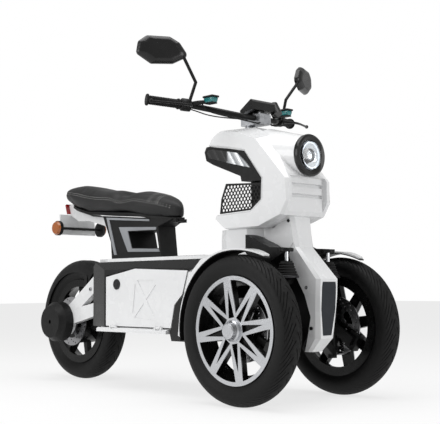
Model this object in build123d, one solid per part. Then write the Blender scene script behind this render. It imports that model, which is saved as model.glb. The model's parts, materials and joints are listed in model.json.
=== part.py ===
from build123d import *
import math
import os

# Three-wheeled electric scooter: two steered front wheels, one driven rear wheel.
# Frame: +X forward, +Y to the rider's left, +Z up. Origin on the ground, midway between
# the axles. All lengths are in millimetres. Mirrored pairs are made on the right (-Y).

os.makedirs("parts", exist_ok=True)

# ---------------------------------------------------------------- driving dimensions
WHEELBASE = 1260.0
FRONT_TRACK = 536.0
TYRE_RADIUS = 258.0
TYRE_HALF_WIDTH = 47.0
REAR_TYRE_HALF_WIDTH = 52.0
RIM_FLANGE_RADIUS = 186.0
RIM_HALF_WIDTH = 33.0
SPOKES = 8

FIT = 0.05            # radial running clearance of a pin in its bore
SEAT = 0.3            # gap between curved faces that meet
MOVE = 6.0            # clearance between pieces that move past each other

FRONT_AXLE_X = WHEELBASE / 2
REAR_AXLE_X = -WHEELBASE / 2
AXLE_Z = TYRE_RADIUS
WHEEL_Y = FRONT_TRACK / 2

KINGPIN_OFFSET = 43.0         # wheel centre plane to kingpin axis
KINGPIN_Y = WHEEL_Y - KINGPIN_OFFSET
KINGPIN_RADIUS = 8.0
SPINDLE_RADIUS = 12.0
STEER_ARM = 90.0              # kingpin to tie rod pin, also the pitman arm's length

BODY_HALF_WIDTH = 205.0       # side faces of the battery box
BODY_BOTTOM_Z = 248.0
DECK_Z = 511.0                # underside of the white deck
DECK_THICKNESS = 13.0
CASE_REAR_X = -334.0
FENDER_GAP = 16.0             # tyre to mudguard
FENDER_RADIUS = TYRE_RADIUS + FENDER_GAP
FENDER_THICKNESS = 6.0
WELL_RADIUS = FENDER_RADIUS + FENDER_THICKNESS + SEAT   # front end of the battery box

HEAD_HALF_WIDTH = 120.0
RAKE = 25.0                   # steering head angle from vertical
STEER_X_AT_1000 = 430.0       # where the steering axis crosses z = 1000
STEM_RADIUS = 18.0


# ---------------------------------------------------------------- helpers
def prism_xz(points, y_low, y_high):
    """Polygon in X and Z, extruded between two values of Y."""
    face = make_face(Polyline(*[(x, z) for x, z in points], close=True))
    return extrude(Plane.XZ.offset(-y_high) * face, y_high - y_low)


def prism_xy(points, z_low, z_high):
    """Polygon in X and Y, extruded between two values of Z."""
    face = make_face(Polyline(*points, close=True))
    return extrude(Plane.XY.offset(z_low) * face, z_high - z_low)


def prism_yz(points, x_low, x_high):
    """Polygon in Y and Z, extruded between two values of X."""
    face = make_face(Polyline(*points, close=True))
    return extrude(Plane.YZ.offset(x_low) * face, x_high - x_low)


def block(x_low, x_high, y_low, y_high, z_low, z_high):
    """Box between its corner values."""
    size = (x_high - x_low, y_high - y_low, z_high - z_low)
    return Pos(x_low, y_low, z_low) * Box(*size, align=(Align.MIN, Align.MIN, Align.MIN))


def rod(start, end, radius, end_radius=None):
    """Round bar or cone from one point to another."""
    start, end = Vector(*start), Vector(*end)
    axis = end - start
    plane = Plane(origin=start, z_dir=axis)
    if end_radius is None:
        return extrude(plane * Circle(radius), axis.length)
    far = Plane(origin=end, z_dir=axis, x_dir=plane.x_dir)
    return loft([plane * Circle(radius), far * Circle(end_radius)])


def bar(start, end, width, height):
    """Rectangular bar between two points; width is level, height is the other way."""
    start, end = Vector(*start), Vector(*end)
    axis = end - start
    level = Vector(0, 0, 1).cross(axis)
    plane = Plane(origin=start, x_dir=level, z_dir=axis)
    return extrude(plane * Rectangle(width, height), axis.length)


def ring_y(outer, inner, y_low, y_high):
    """Ring or disc about the Y axis."""
    face = Circle(outer) - Circle(inner) if inner else Circle(outer)
    return extrude(Plane.XZ.offset(-y_high) * face, y_high - y_low)


def lathe_y(points):
    """Section of (radius, y) points, turned about the Y axis."""
    return revolve(make_face(Polyline(*points, close=True)), Axis.Y)


def mirrored(shape):
    return mirror(shape, about=Plane.XZ)


def both(shape):
    """The shape on the right and its mirror image on the left."""
    return Compound(children=list(shape.solids()) + list(mirrored(shape).solids()))


def at_front_wheel(shape):
    """From wheel coordinates, +Y outboard, to the left front wheel."""
    return Pos(FRONT_AXLE_X, WHEEL_Y, AXLE_Z) * shape


def polar(radius, degrees, centre_x, centre_z):
    """Point at an angle about a wheel centre, from +X towards +Z."""
    angle = math.radians(degrees)
    return centre_x + radius * math.cos(angle), centre_z + radius * math.sin(angle)


def arc_band(inner, outer, low, high, centre_x, y_low, y_high):
    """Curved strip about a wheel centre between two angles in degrees."""
    mid = (low + high) / 2
    points = [polar(r, a, centre_x, AXLE_Z) for r, a in
              ((inner, low), (inner, mid), (inner, high), (outer, high), (outer, mid), (outer, low))]
    edges = [ThreePointArc(points[0], points[1], points[2]), Line(points[2], points[3]),
             ThreePointArc(points[3], points[4], points[5]), Line(points[5], points[0])]
    face = make_face(edges)
    return extrude(Plane.XZ.offset(-y_high) * face, y_high - y_low)


def rib_loft(ribs, ruled=True):
    """Skin over a row of closed outlines, each a list of points in space."""
    return loft([make_face(Polyline(*points, close=True)) for points in ribs], ruled=ruled)


NODES = {}


# ---------------------------------------------------------------- wheels
BEAD_RADIUS = 179.0


def tyre(half_width, rim_half):
    """Closed tyre section, seated between the rim's flanges."""
    bead = rim_half - 3.0 - SEAT
    foot = BEAD_RADIUS + SEAT
    lip = RIM_FLANGE_RADIUS + 1.5
    shoulder = (TYRE_RADIUS - 12.0, half_width - 9.0)
    bulge = ((lip + shoulder[0]) / 2, half_width)
    edges = [
        Line((foot, -bead), (lip, -bead)),
        ThreePointArc((lip, -bead), (bulge[0], -bulge[1]), (shoulder[0], -shoulder[1])),
        ThreePointArc((shoulder[0], -shoulder[1]), (TYRE_RADIUS, 0), shoulder),
        ThreePointArc(shoulder, bulge, (lip, bead)),
        Line((lip, bead), (foot, bead)),
        Line((foot, bead), (foot, -bead)),
    ]
    return revolve(make_face(edges), Axis.Y)


HUB_RADIUS = 30.0
SPOKE_INNER_Y = 8.0           # inboard face of the spokes
SPOKE_OUTER_Y = RIM_HALF_WIDTH - 2.0
FACE_THICKNESS = 3.5
RIM_FACE_RADIUS = 173.0       # inside of the rim's outboard edge
RIM_BACK_RADIUS = 153.5       # inside of the rim's inboard edge
SPOKE_TIP_HALF = 17.0
SPOKE_ROOT_HALF = 24.5
SPOKE_PHASE = 9.5            # degrees from straight ahead
SLOT_TIP_RADIUS = 142.0
SLOT_ROOT_RADIUS = 44.0
SLOT_ROOT_HALF = 13.5
DISC_RADIUS = 110.0
DISC_Y = -22.0                # inboard face of the front brake disc
DISC_THICKNESS = 4.0


def rim_barrel(half):
    """Drop-centre barrel with both flanges."""
    f, b, well = RIM_FLANGE_RADIUS, BEAD_RADIUS, BEAD_RADIUS - 8.0
    return lathe_y([
        (f, -half), (f, -half + 3), (b, -half + 3), (b, -half + 13), (well, -half + 21),
        (well, half - 21), (b, half - 13), (b, half - 3), (f, half - 3), (f, half),
        (RIM_FACE_RADIUS, half), (RIM_FACE_RADIUS - 7, half - 21),
        (RIM_BACK_RADIUS, -half + 15), (RIM_BACK_RADIUS, -half),
    ])


def spoke_ring(outline, y_low, y_high, count=SPOKES):
    """Copies of a spoke outline, in radius and width, round the wheel."""
    one = prism_xz(outline, y_low, y_high)
    return [Rot(0, 360.0 / count * i - SPOKE_PHASE, 0) * one for i in range(count)]


def spoke_outline(tip_radius):
    return [(HUB_RADIUS - 6, -SPOKE_ROOT_HALF), (tip_radius, -SPOKE_TIP_HALF),
            (tip_radius, SPOKE_TIP_HALF), (HUB_RADIUS - 6, SPOKE_ROOT_HALF)]


SLOT_OUTLINE = [(SLOT_TIP_RADIUS, 0), (SLOT_ROOT_RADIUS, SLOT_ROOT_HALF),
                (SLOT_ROOT_RADIUS, -SLOT_ROOT_HALF)]


def front_rim():
    body = rim_barrel(RIM_HALF_WIDTH) + ring_y(HUB_RADIUS, 0, DISC_Y, SPOKE_OUTER_Y)
    spokes = spoke_ring(spoke_outline(RIM_FACE_RADIUS - 3), SPOKE_INNER_Y, SPOKE_OUTER_Y)
    body = body + spokes
    groove = spoke_ring(SLOT_OUTLINE, SPOKE_OUTER_Y - 8, SPOKE_OUTER_Y + 1)
    bore = ring_y(SPINDLE_RADIUS + FIT, 0, DISC_Y - 1, SPOKE_OUTER_Y - 8)
    return body - groove - bore


def front_rim_face():
    """Machined spoke faces, outer ring and hub cap."""
    low, high = SPOKE_OUTER_Y, SPOKE_OUTER_Y + FACE_THICKNESS
    plates = spoke_ring(spoke_outline(RIM_FACE_RADIUS + 3), low, high)
    slots = spoke_ring(SLOT_OUTLINE, low - 1, high + 1)
    edge = ring_y(RIM_FLANGE_RADIUS - 0.5, RIM_FACE_RADIUS - 1.5, RIM_HALF_WIDTH, high)
    centre = ring_y(HUB_RADIUS + 8, 0, low, high)
    inside = ring_y(RIM_FACE_RADIUS - 1.0, 0, low, high)
    face = ((centre + plates) & inside) - slots + edge
    cap = lathe_y([(0, high), (36, high), (36, high + 7), (32, high + 12), (27, high + 26),
                   (23, high + 29), (0, high + 29)])
    return face + cap


def brake_disc(radius, y_low):
    """Ventilated disc on its carrier flange, about the Y axis."""
    y_high = y_low + DISC_THICKNESS
    disc = ring_y(radius, radius - 34, y_low, y_high)
    carrier = ring_y(HUB_RADIUS + 16, HUB_RADIUS + SEAT, y_low, y_high)
    arms = [Rot(0, 60 * i, 0) * block(HUB_RADIUS + 10, radius - 30, y_low, y_high, -9, 9)
            for i in range(6)]
    holes = []
    for i in range(12):
        for j, r in enumerate((radius - 26, radius - 17, radius - 8)):
            x, z = polar(r, 30 * i + 9 * j, 0, 0)
            holes.append(Pos(x, 0, z) * ring_y(3.2, 0, y_low - 1, y_high + 1))
    return disc + carrier + arms - holes


for side, place in (("left", at_front_wheel), ("right", lambda s: mirrored(at_front_wheel(s)))):
    NODES[f"front_tyre_{side}"] = place(tyre(TYRE_HALF_WIDTH, RIM_HALF_WIDTH))
    NODES[f"front_rim_{side}"] = place(front_rim())
    NODES[f"front_rim_face_{side}"] = place(front_rim_face())
    NODES[f"front_disc_{side}"] = place(brake_disc(DISC_RADIUS, DISC_Y))

# Rear wheel with its hub motor
REAR_RIM_HALF = 38.0
MOTOR_RADIUS = 98.0
MOTOR_HALF = 34.0
REAR_AXLE_RADIUS = 10.0
REAR_DISC_RADIUS = 108.0
REAR_DISC_Y = -76.0


def rear_rim():
    body = rim_barrel(REAR_RIM_HALF) + ring_y(MOTOR_RADIUS, 0, -MOTOR_HALF, MOTOR_HALF)
    hub = ring_y(HUB_RADIUS, 0, REAR_DISC_Y, -REAR_DISC_Y - 6)
    outline = [(MOTOR_RADIUS - 8, -13), (RIM_BACK_RADIUS + 14, -10),
               (RIM_BACK_RADIUS + 14, 10), (MOTOR_RADIUS - 8, 13)]
    spokes = spoke_ring(outline, -12, 12)
    bore = ring_y(REAR_AXLE_RADIUS + FIT, 0, -100, 100)
    return body + hub + spokes - bore


def at_rear_wheel(shape):
    return Pos(REAR_AXLE_X, 0, AXLE_Z) * shape


NODES["rear_tyre"] = at_rear_wheel(tyre(REAR_TYRE_HALF_WIDTH, REAR_RIM_HALF))
NODES["rear_rim"] = at_rear_wheel(rear_rim())
NODES["rear_disc"] = at_rear_wheel(brake_disc(REAR_DISC_RADIUS, REAR_DISC_Y))

# ---------------------------------------------------------------- front knuckles
POST_RADIUS = 16.0
POST_LOW_Z = AXLE_Z - 86
POST_HIGH_Z = AXLE_Z + 92
PIN_DEPTH = 26.0
TIE_PIN_RADIUS = 6.0
TIE_Z = AXLE_Z - 52.0
EYE_THICKNESS = 12.0
CALIPER_ANGLE = -32.0         # about the axle, from straight ahead
DISC_GAP = 2.0                # between brake disc and caliper


def knuckle():
    """Upright post, wheel spindle, steering arm and brake caliper of the right wheel."""
    x, y = FRONT_AXLE_X, -KINGPIN_Y
    post = rod((x, y, POST_LOW_Z), (x, y, POST_HIGH_Z), POST_RADIUS)
    spindle = rod((x, y, AXLE_Z), (x, -WHEEL_Y - SPOKE_OUTER_Y + 12, AXLE_Z), SPINDLE_RADIUS)
    arm = bar((x, y, TIE_Z - EYE_THICKNESS), (x - STEER_ARM, y, TIE_Z - EYE_THICKNESS), 20, 10)
    pin_end = rod((x - STEER_ARM, y, TIE_Z - EYE_THICKNESS - 5),
                  (x - STEER_ARM, y, TIE_Z + 2 * EYE_THICKNESS + 2), TIE_PIN_RADIUS)
    eye = rod((x - STEER_ARM, y, TIE_Z - EYE_THICKNESS - 5),
              (x - STEER_ARM, y, TIE_Z - EYE_THICKNESS + 5), 13)
    # The caliper straddles the disc ahead of and below the axle.
    cx, cz = polar(DISC_RADIUS - 12, CALIPER_ANGLE, x, AXLE_Z)
    disc_y = -WHEEL_Y - DISC_Y - DISC_THICKNESS / 2
    throat = DISC_THICKNESS + 2 * DISC_GAP
    body = Box(44, 30 + DISC_THICKNESS, 66) - Pos(-8, 0, 0) * Box(44, throat, 70)
    caliper = Pos(cx, disc_y, cz) * Rot(0, -CALIPER_ANGLE, 0) * body
    mount = polar(DISC_RADIUS - 6, CALIPER_ANGLE, x, AXLE_Z)
    bracket = bar((x, y, AXLE_Z), (mount[0], y, mount[1]), 12, 36)
    low = rod((x, y, POST_LOW_Z - 1), (x, y, POST_LOW_Z + PIN_DEPTH), KINGPIN_RADIUS + FIT)
    high = rod((x, y, POST_HIGH_Z + 1), (x, y, POST_HIGH_Z - PIN_DEPTH), KINGPIN_RADIUS + FIT)
    swept = Pos(x, 0, AXLE_Z) * ring_y(DISC_RADIUS + DISC_GAP, 0, disc_y - throat / 2, disc_y + throat / 2)
    upright = post + arm + eye + bracket + (caliper - swept)
    return upright + spindle + pin_end - low - high


KNUCKLE = knuckle()
NODES["knuckle_right"] = KNUCKLE
NODES["knuckle_left"] = mirrored(KNUCKLE)

# ---------------------------------------------------------------- steering linkage
TIE_LEVELS = {"right": TIE_Z, "left": TIE_Z + EYE_THICKNESS + 1}
FRAME_BOTTOM_Z = 236.0
PITMAN_TOP_Z = FRAME_BOTTOM_Z + 44


def tie_rod(side):
    """Straight rod with an eye at each end; the two rods cross the pitman pin one above the other."""
    sign = -1 if side == "right" else 1
    x = FRONT_AXLE_X - STEER_ARM
    z = TIE_LEVELS[side]
    body = bar((x, 10 * sign, z), (x, (KINGPIN_Y - 10) * sign, z), 12, 9)
    for y in (0, KINGPIN_Y * sign):
        body = body + rod((x, y, z - EYE_THICKNESS / 2), (x, y, z + EYE_THICKNESS / 2), 13)
    for y in (0, KINGPIN_Y * sign):
        body = body - rod((x, y, z - EYE_THICKNESS), (x, y, z + EYE_THICKNESS), TIE_PIN_RADIUS + FIT)
    return body


def pitman():
    """Vertical shaft below the front frame, its arm and the pin for both tie rods."""
    x = FRONT_AXLE_X
    end = x - STEER_ARM
    arm_z = TIE_Z - EYE_THICKNESS
    shaft = rod((x, 0, arm_z - 5), (x, 0, PITMAN_TOP_Z), 14)
    arm = bar((x, 0, arm_z), (end, 0, arm_z), 26, 10)
    eye = rod((end, 0, arm_z - 5), (end, 0, arm_z + 5), 15)
    pin = rod((end, 0, arm_z - 5), (end, 0, TIE_Z + 2 * EYE_THICKNESS + 2), TIE_PIN_RADIUS)
    return shaft + arm + eye + pin


NODES["tie_rod_right"] = tie_rod("right")
NODES["tie_rod_left"] = tie_rod("left")
NODES["pitman_arm"] = pitman()

# ---------------------------------------------------------------- front frame and nose
FRAME_HALF = 48.0
COLUMN_FOOT_Z = DECK_Z + DECK_THICKNESS
COLUMN_HALF = 50.0


def front_frame():
    """Central frame between the battery box and the nose."""
    body = prism_xz([(330, FRAME_BOTTOM_Z + 14), (400, FRAME_BOTTOM_Z), (700, FRAME_BOTTOM_Z),
                     (716, 190), (735, 226), (757, 300), (735, 376), (700, 432), (650, COLUMN_FOOT_Z),
                     (500, COLUMN_FOOT_Z),
                     (500, DECK_Z), (330, DECK_Z)],
                    -FRAME_HALF, FRAME_HALF)
    socket = rod((FRONT_AXLE_X, 0, FRAME_BOTTOM_Z - 1), (FRONT_AXLE_X, 0, PITMAN_TOP_Z + 2), 14 + FIT)
    return body - socket


FRONT_FRAME = front_frame()
NODES["front_frame"] = FRONT_FRAME


NOSE_RIBS = [
    # z, front x, front half width, side x, side half width, back x
    (672, 678, 42, 664, 54, 640), (546, 698, 36, 688, 50, 646), (432, 802, 45, 786, 53, 700),
    (376, 799, 46, 784, 54, 735), (300, 794, 40, 778, 49, 757), (226, 788, 32, 770, 42, 735),
    (178, 742, 26, 730, 34, 716)]


def nose_beam():
    """White front beam: straight upper part, shoulder and tapered nose."""
    ribs = []
    for z, front, front_half, side, side_half, back in NOSE_RIBS:
        right = [(front, -front_half, z), (side, -side_half, z), (back, -side_half, z)]
        ribs.append(right + [(x, -y, h) for x, y, h in reversed(right)])
    beam = rib_loft(ribs)
    gusset = prism_xz([(650, 672), (642, 655), (540, 578), (560, 560), (600, 545), (650, COLUMN_FOOT_Z),
                       (680, 560), (664, 672)], -54, 54)
    return beam + gusset - FRONT_FRAME


def nose_inlay():
    """Dark panel let into the nose's front."""
    outline = [(-34, 422), (-37, 404), (-37, 326), (-22, 236), (22, 236), (37, 326), (37, 404),
               (34, 422)]
    front = prism_yz(outline, 770, 830)
    side = prism_xz([(780, 430), (780, 230), (789.6, 230), (795.2, 300), (800.2, 376), (803, 430)],
                    -60, 60)
    return (front & side) - NOSE_BEAM


NOSE_BEAM = nose_beam()
NODES["nose_beam"] = NOSE_BEAM
NODES["nose_inlay"] = nose_inlay()


def front_column():
    """White column that carries the head, standing on the deck."""
    side = prism_xz([(342, COLUMN_FOOT_Z), (650, COLUMN_FOOT_Z), (628, 618), (358, 618)], -110, 110)
    plan = prism_xy([(330, -60), (352, -84), (392, -100), (500, -100), (540, -COLUMN_HALF),
                     (655, -COLUMN_HALF), (655, COLUMN_HALF), (540, COLUMN_HALF), (500, 100),
                     (392, 100), (352, 84), (330, 60)], 500, 640)
    return (side & plan) - NOSE_BEAM


FRONT_COLUMN = front_column()
NODES["front_column"] = FRONT_COLUMN

# ---------------------------------------------------------------- suspension (fixed at rest height)
ARM_THICKNESS = 18.0
ARM_ROOT = (698.0, -46.0, 243.0)


def suspension_arms():
    """Upper and lower arms of the right wheel, with the kingpin ends they carry."""
    x, y = FRONT_AXLE_X, -KINGPIN_Y
    gap = 1.0
    top_z = POST_HIGH_Z + gap
    low_z = POST_LOW_Z - gap
    high_boss = rod((x, y, top_z), (x, y, top_z + ARM_THICKNESS), 20)
    high_pin = rod((x, y, top_z + 2), (x, y, POST_HIGH_Z - PIN_DEPTH + 2), KINGPIN_RADIUS)
    high_arm = bar((x, y, top_z + ARM_THICKNESS / 2), (668, -40, 431), 34, ARM_THICKNESS - 2)
    low_boss = rod((x, y, low_z), (x, y, low_z - ARM_THICKNESS), 20)
    low_pin = rod((x, y, low_z - 2), (x, y, POST_LOW_Z + PIN_DEPTH - 2), KINGPIN_RADIUS)
    elbow = (700, -132, low_z - ARM_THICKNESS / 2)
    low_arm = bar((x, y, low_z - ARM_THICKNESS / 2), elbow, 30, ARM_THICKNESS - 2)
    reach = bar(elbow, ARM_ROOT, 36, 26)
    knee = rod((elbow[0], elbow[1], elbow[2] - 14), (elbow[0], elbow[1], elbow[2] + 14), 18)
    foot = block(672, 722, -66, -44, 222, 262)
    upper = high_boss + high_pin + high_arm - FRONT_FRAME
    lower = low_boss + low_pin + low_arm + reach + knee + foot - NOSE_BEAM - FRONT_FRAME
    return [upper, lower]


NODES["suspension_arms"] = both(Compound(children=suspension_arms()))

SHOCK = (704.0, -112.0)


def shock_absorber():
    """Rod, rubber boot and foot of the right front shock absorber."""
    x, y = SHOCK
    stem = rod((x, y, 528), (x, y, 488), 7)
    boot = rod((x, y, 491), (x, y, 444), 25, 40)
    foot = rod((x, y, 444.3), (x, y, 436), 44)
    return stem + boot + foot


def shock_tower():
    """Box arm from the column out to the top of the shock absorber."""
    side = prism_xz([(522, 594), (566, 574), (640, 545), (700, 542), (716, 530), (640, 494),
                     (560, 500), (486, 552)], -128, -COLUMN_HALF)
    plan = prism_xy([(470, -COLUMN_HALF), (520, -128), (700, -128), (722, -112), (700, -92),
                     (600, -COLUMN_HALF)],
                    480, 600)
    flange = rod((SHOCK[0], SHOCK[1], 528), (SHOCK[0], SHOCK[1], 540), 26)
    return (side & plan) + flange - FRONT_COLUMN - NOSE_BEAM


TOWER = shock_tower()
NODES["shock_absorbers"] = both(shock_absorber() - TOWER)
NODES["shock_towers"] = both(TOWER)

# ---------------------------------------------------------------- head
HEADLAMP_Z = 874.0
HEADLAMP_RADIUS = 75.0
HEADLAMP_FACE_X = 731.0
NACELLE_X = HEADLAMP_FACE_X - 22.0
LENS_RADIUS = 53.0
LENS_DOME = 13.0


def steer_point(distance):
    """Point on the steering axis, measured up along it from z = 1000."""
    lean = math.radians(RAKE)
    return STEER_X_AT_1000 - distance * math.sin(lean), 0, 1000 + distance * math.cos(lean)


HEAD_RIBS = [
    # inner edge (x, z), side plane (x, z), rise beyond it, half widths inside and outside
    ((319, 938), (340, 968), 3.5, 112, 104),
    ((362, 930), (384, 989), 8.5, 112, 84),
    ((432, 918), (475, 975), 30, 112, 46),
    ((502, 903), (566, 940), 32, 112, 60),
    ((587, 797), (708, 787), 10, 112, 110),
    ((583, 719), (712, 708), 6, 112, 110),
    ((552, 697), (682, 660), 8, 112, 106),
    ((530, 682), (575, 623), 6, 112, 98),
    ((380, 676), (402, 623), 5, 112, 98),
    ((364, 675), (355, 660), 3, 112, 106),
]


def head_rib(inner, side, rise, inner_half, outer_half):
    """Flat outline across the C, from its inner edge past the side plane to its outer face."""
    (ix, iz), (sx, sz) = inner, side
    length = math.hypot(sx - ix, sz - iz)
    ux, uz = (sx - ix) / length, (sz - iz) / length
    right = [(rise + length, -outer_half), (length, -HEAD_HALF_WIDTH),
             (0.12 * length, -HEAD_HALF_WIDTH), (0, -inner_half)]
    rib = right + [(d, -y) for d, y in reversed(right)]
    return [(ix + d * ux, y, iz + d * uz) for d, y in rib]


PANEL_X = 698.0               # front panel between the two ridges
PANEL_HALF = 95.0


def head_shell():
    """C-shaped white head with the headlamp nacelle."""
    body = rib_loft([head_rib(*rib) for rib in HEAD_RIBS])
    wide = Plane(origin=(540, 0, 884), z_dir=(1, 0, 0))
    narrow = Plane(origin=(NACELLE_X, 0, HEADLAMP_Z), x_dir=wide.x_dir, z_dir=(1, 0, 0))
    nacelle = loft([wide * Circle(107), narrow * Circle(HEADLAMP_RADIUS - 2)])
    front = prism_xz([(440, 1030), (502, 903), (587, 797), (600, 700), (760, 700), (760, 1030)],
                     -130, 130)
    panel = block(PANEL_X, 740, -PANEL_HALF, PANEL_HALF, 640, 797)
    slots = [block(PANEL_X - 9, 740, -PANEL_HALF + 3, PANEL_HALF - 3, z, z + 13) for z in (723, 761)]
    stem_hole = rod(steer_point(-160), steer_point(60), STEM_RADIUS + MOVE)
    return (body - panel - slots) + (nacelle & front) - stem_hole - NOSE_BEAM


HEAD_SHELL = head_shell()
NODES["head_shell"] = HEAD_SHELL


def headlamp_bezel():
    """Black ring round the lamp, with the lamp bowl behind it."""
    back = NACELLE_X + SEAT
    ring = Pos(0, 0, HEADLAMP_Z) * revolve(make_face(Polyline(
        (back, 0), (back, HEADLAMP_RADIUS), (back + 12, HEADLAMP_RADIUS + 2),
        (HEADLAMP_FACE_X, HEADLAMP_RADIUS - 4), (HEADLAMP_FACE_X - 4, LENS_RADIUS + 1),
        (back + 6, LENS_RADIUS - 10), (back + 6, 0), close=True)), Axis.X)
    return ring


def headlamp_lens():
    """Domed clear lens, part of a ball."""
    back = HEADLAMP_FACE_X - 4 + SEAT
    front = back + LENS_DOME
    ball = (LENS_RADIUS ** 2 + LENS_DOME ** 2) / (2 * LENS_DOME)
    half_angle = math.asin(LENS_RADIUS / ball) / 2
    middle = (front - ball + ball * math.cos(half_angle), ball * math.sin(half_angle))
    edges = [Line((back, 0), (front, 0)),
             ThreePointArc((front, 0), middle, (back, LENS_RADIUS)),
             Line((back, LENS_RADIUS), (back, 0))]
    return Pos(0, 0, HEADLAMP_Z) * revolve(make_face(edges), Axis.X)


NODES["headlamp_bezel"] = headlamp_bezel()
NODES["headlamp_lens"] = headlamp_lens()


def head_core():
    """Black inside of the head: the two cheeks and the neck behind the grilles."""
    cheek = prism_xz([(286, 920), (296, 938), (318, 940), (362, 931), (432, 919), (502, 904),
                      (587, 798), (587, 787), (484, 792), (479, 812), (334, 867), (296, 886)],
                     -110, 110)
    neck = prism_xz([(484, 794), (586.5, 789), (583, 720), (552, 698), (486, 684)], -60, 60)
    bore = rod(steer_point(-190), steer_point(0), STEM_RADIUS + FIT)
    clear = rod(steer_point(-110), steer_point(60), STEM_RADIUS + MOVE)
    return cheek + neck - HEAD_SHELL - bore - clear


NODES["head_core"] = head_core()


def side_lamp():
    """Clear side lamp in the right cheek."""
    return prism_xz([(306, 913), (313, 927), (345, 924), (468, 899), (500, 872), (532, 839), (420, 866),
                     (318, 894)], -117, -110)


NODES["side_lamps"] = both(side_lamp())

GRILLE_PITCH = 17.0
GRILLE_HOLE = 6.6


def head_grille():
    """Flat mesh of six-sided holes across the right side of the C."""
    outline = [(368, 678), (530, 684), (582, 721), (586, 779), (401, 790), (376, 734)]
    sheet = make_face(Polyline(*outline, close=True))
    field = offset(sheet, -7)
    holes = []
    for i in range(15):
        for j in range(9):
            x = 370 + GRILLE_PITCH * (i + 0.5 * (j % 2))
            z = 690 + GRILLE_PITCH * 0.72 * j
            holes.append(Pos(x, z) * RegularPolygon(GRILLE_HOLE, 6))
    mesh = sheet - (field & Sketch(children=holes))
    return extrude(Plane.XZ.offset(106) * mesh, 3)


NODES["head_grilles"] = both(head_grille())

# ---------------------------------------------------------------- battery box, deck and doors
WEB_HALF = 12.0
BAY_X = (-196.0, 186.0)
BAY_Z = (258.0, 446.0)
SPLIT_Y = BODY_HALF_WIDTH - 40.0
DOOR_THICKNESS = 11.0
DOOR_GAP = 5.0
HINGE_AXIS = (-BODY_HALF_WIDTH - MOVE, 250.5)  # y and z of the right door's hinge line
HINGE_X = (-150.0, 130.0)
HINGE_PIN_RADIUS = 2.5
HINGE_EAR_HALF = 4.0          # its corners stay clear of the turning door
DOOR_OUTLINE = [(-206, 252), (-206, 449), (-19, 480), (292, 468), (262, 380), (217, 340), (196, 252)]


def case_block():
    """Whole outer form of the battery box, before it is hollowed and split."""
    side = prism_xz([(CASE_REAR_X, BODY_BOTTOM_Z), (CASE_REAR_X, 494), (-312, DECK_Z), (500, DECK_Z),
                     (500, 300), (350, 204), (200, 204), (186, BODY_BOTTOM_Z)],
                    -BODY_HALF_WIDTH, BODY_HALF_WIDTH)
    w = BODY_HALF_WIDTH
    plan = prism_xy([(CASE_REAR_X, -w + 31), (-218, -w), (520, -w), (520, w), (-218, w),
                     (CASE_REAR_X, w - 31)], 190, 520)
    front = prism_yz([(-w, 190), (-w, 478), (-w + 25, DECK_Z), (w - 25, DECK_Z), (w, 478), (w, 190)],
                     CASE_REAR_X - 5, 510)
    well = Pos(FRONT_AXLE_X, 0, AXLE_Z) * ring_y(WELL_RADIUS, 0, -w - 5, w + 5)
    return (side & plan & front) - well


def bay(sign):
    """Battery bay, open through the door opening."""
    inner = block(BAY_X[0], BAY_X[1], WEB_HALF, BODY_HALF_WIDTH + 5, BAY_Z[0], BAY_Z[1])
    return inner if sign > 0 else mirrored(inner)


def door_recess(grow):
    """Opening for the right door, larger than it by a gap."""
    sheet = offset(make_face(Polyline(*DOOR_OUTLINE, close=True)), grow, kind=Kind.INTERSECTION)
    depth = DOOR_THICKNESS + 1.5
    return extrude(Plane.XZ.offset(BODY_HALF_WIDTH - depth) * sheet, depth + 10)


CASE = case_block() - bay(-1) - bay(1)
RECESS = door_recess(DOOR_GAP)
CASE = CASE - RECESS - mirrored(RECESS)
MIDDLE = block(CASE_REAR_X - 10, 520, -SPLIT_Y, SPLIT_Y, 190, 530)
FRAME_SLOT = block(330, 520, -FRAME_HALF - SEAT, FRAME_HALF + SEAT, 190, 530)
NODES["battery_case"] = (CASE & MIDDLE) - FRAME_SLOT
NODES["side_frames"] = CASE - MIDDLE


def battery():
    """Right battery pack."""
    return block(BAY_X[0] + 8, BAY_X[1] - 8, -BODY_HALF_WIDTH + 35, -WEB_HALF, BAY_Z[0], BAY_Z[1] - 8)


NODES["batteries"] = both(battery())


EMBOSS_DEPTH = 2.5
EMBOSS_FRAME = [(-17, 435), (111, 434), (95, 281), (-35, 289)]


def door_relief():
    """Sunk panel of the right door, its corners' diagonals left standing as an X."""
    top_left, top_right, low_right, low_left = EMBOSS_FRAME
    cutter = extrude(Plane.XZ.offset(BODY_HALF_WIDTH - EMBOSS_DEPTH) * make_face(
        Polyline(*EMBOSS_FRAME, close=True)), EMBOSS_DEPTH + 5)
    for start, end in ((top_left, low_right), (top_right, low_left)):
        y = -BODY_HALF_WIDTH
        cutter = cutter - bar((start[0], y, start[1]), (end[0], y, end[1]), 24, 20)
    return cutter


def door():
    """Right battery door, hinged along its lower edge."""
    sheet = make_face(Polyline(*DOOR_OUTLINE, close=True))
    panel = extrude(Plane.XZ.offset(BODY_HALF_WIDTH - DOOR_THICKNESS) * sheet, DOOR_THICKNESS)
    y, z = HINGE_AXIS
    for x in HINGE_X:
        panel = panel + rod((x - 12, y, z), (x + 12, y, z), 4.5)
        panel = panel + block(x - 12, x + 12, y, -BODY_HALF_WIDTH, 252, 256)
        panel = panel - rod((x - 13, y, z), (x + 13, y, z), HINGE_PIN_RADIUS + FIT)
    return panel - door_relief()


NODES["door_right"] = door()
NODES["door_left"] = mirrored(door())


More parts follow.
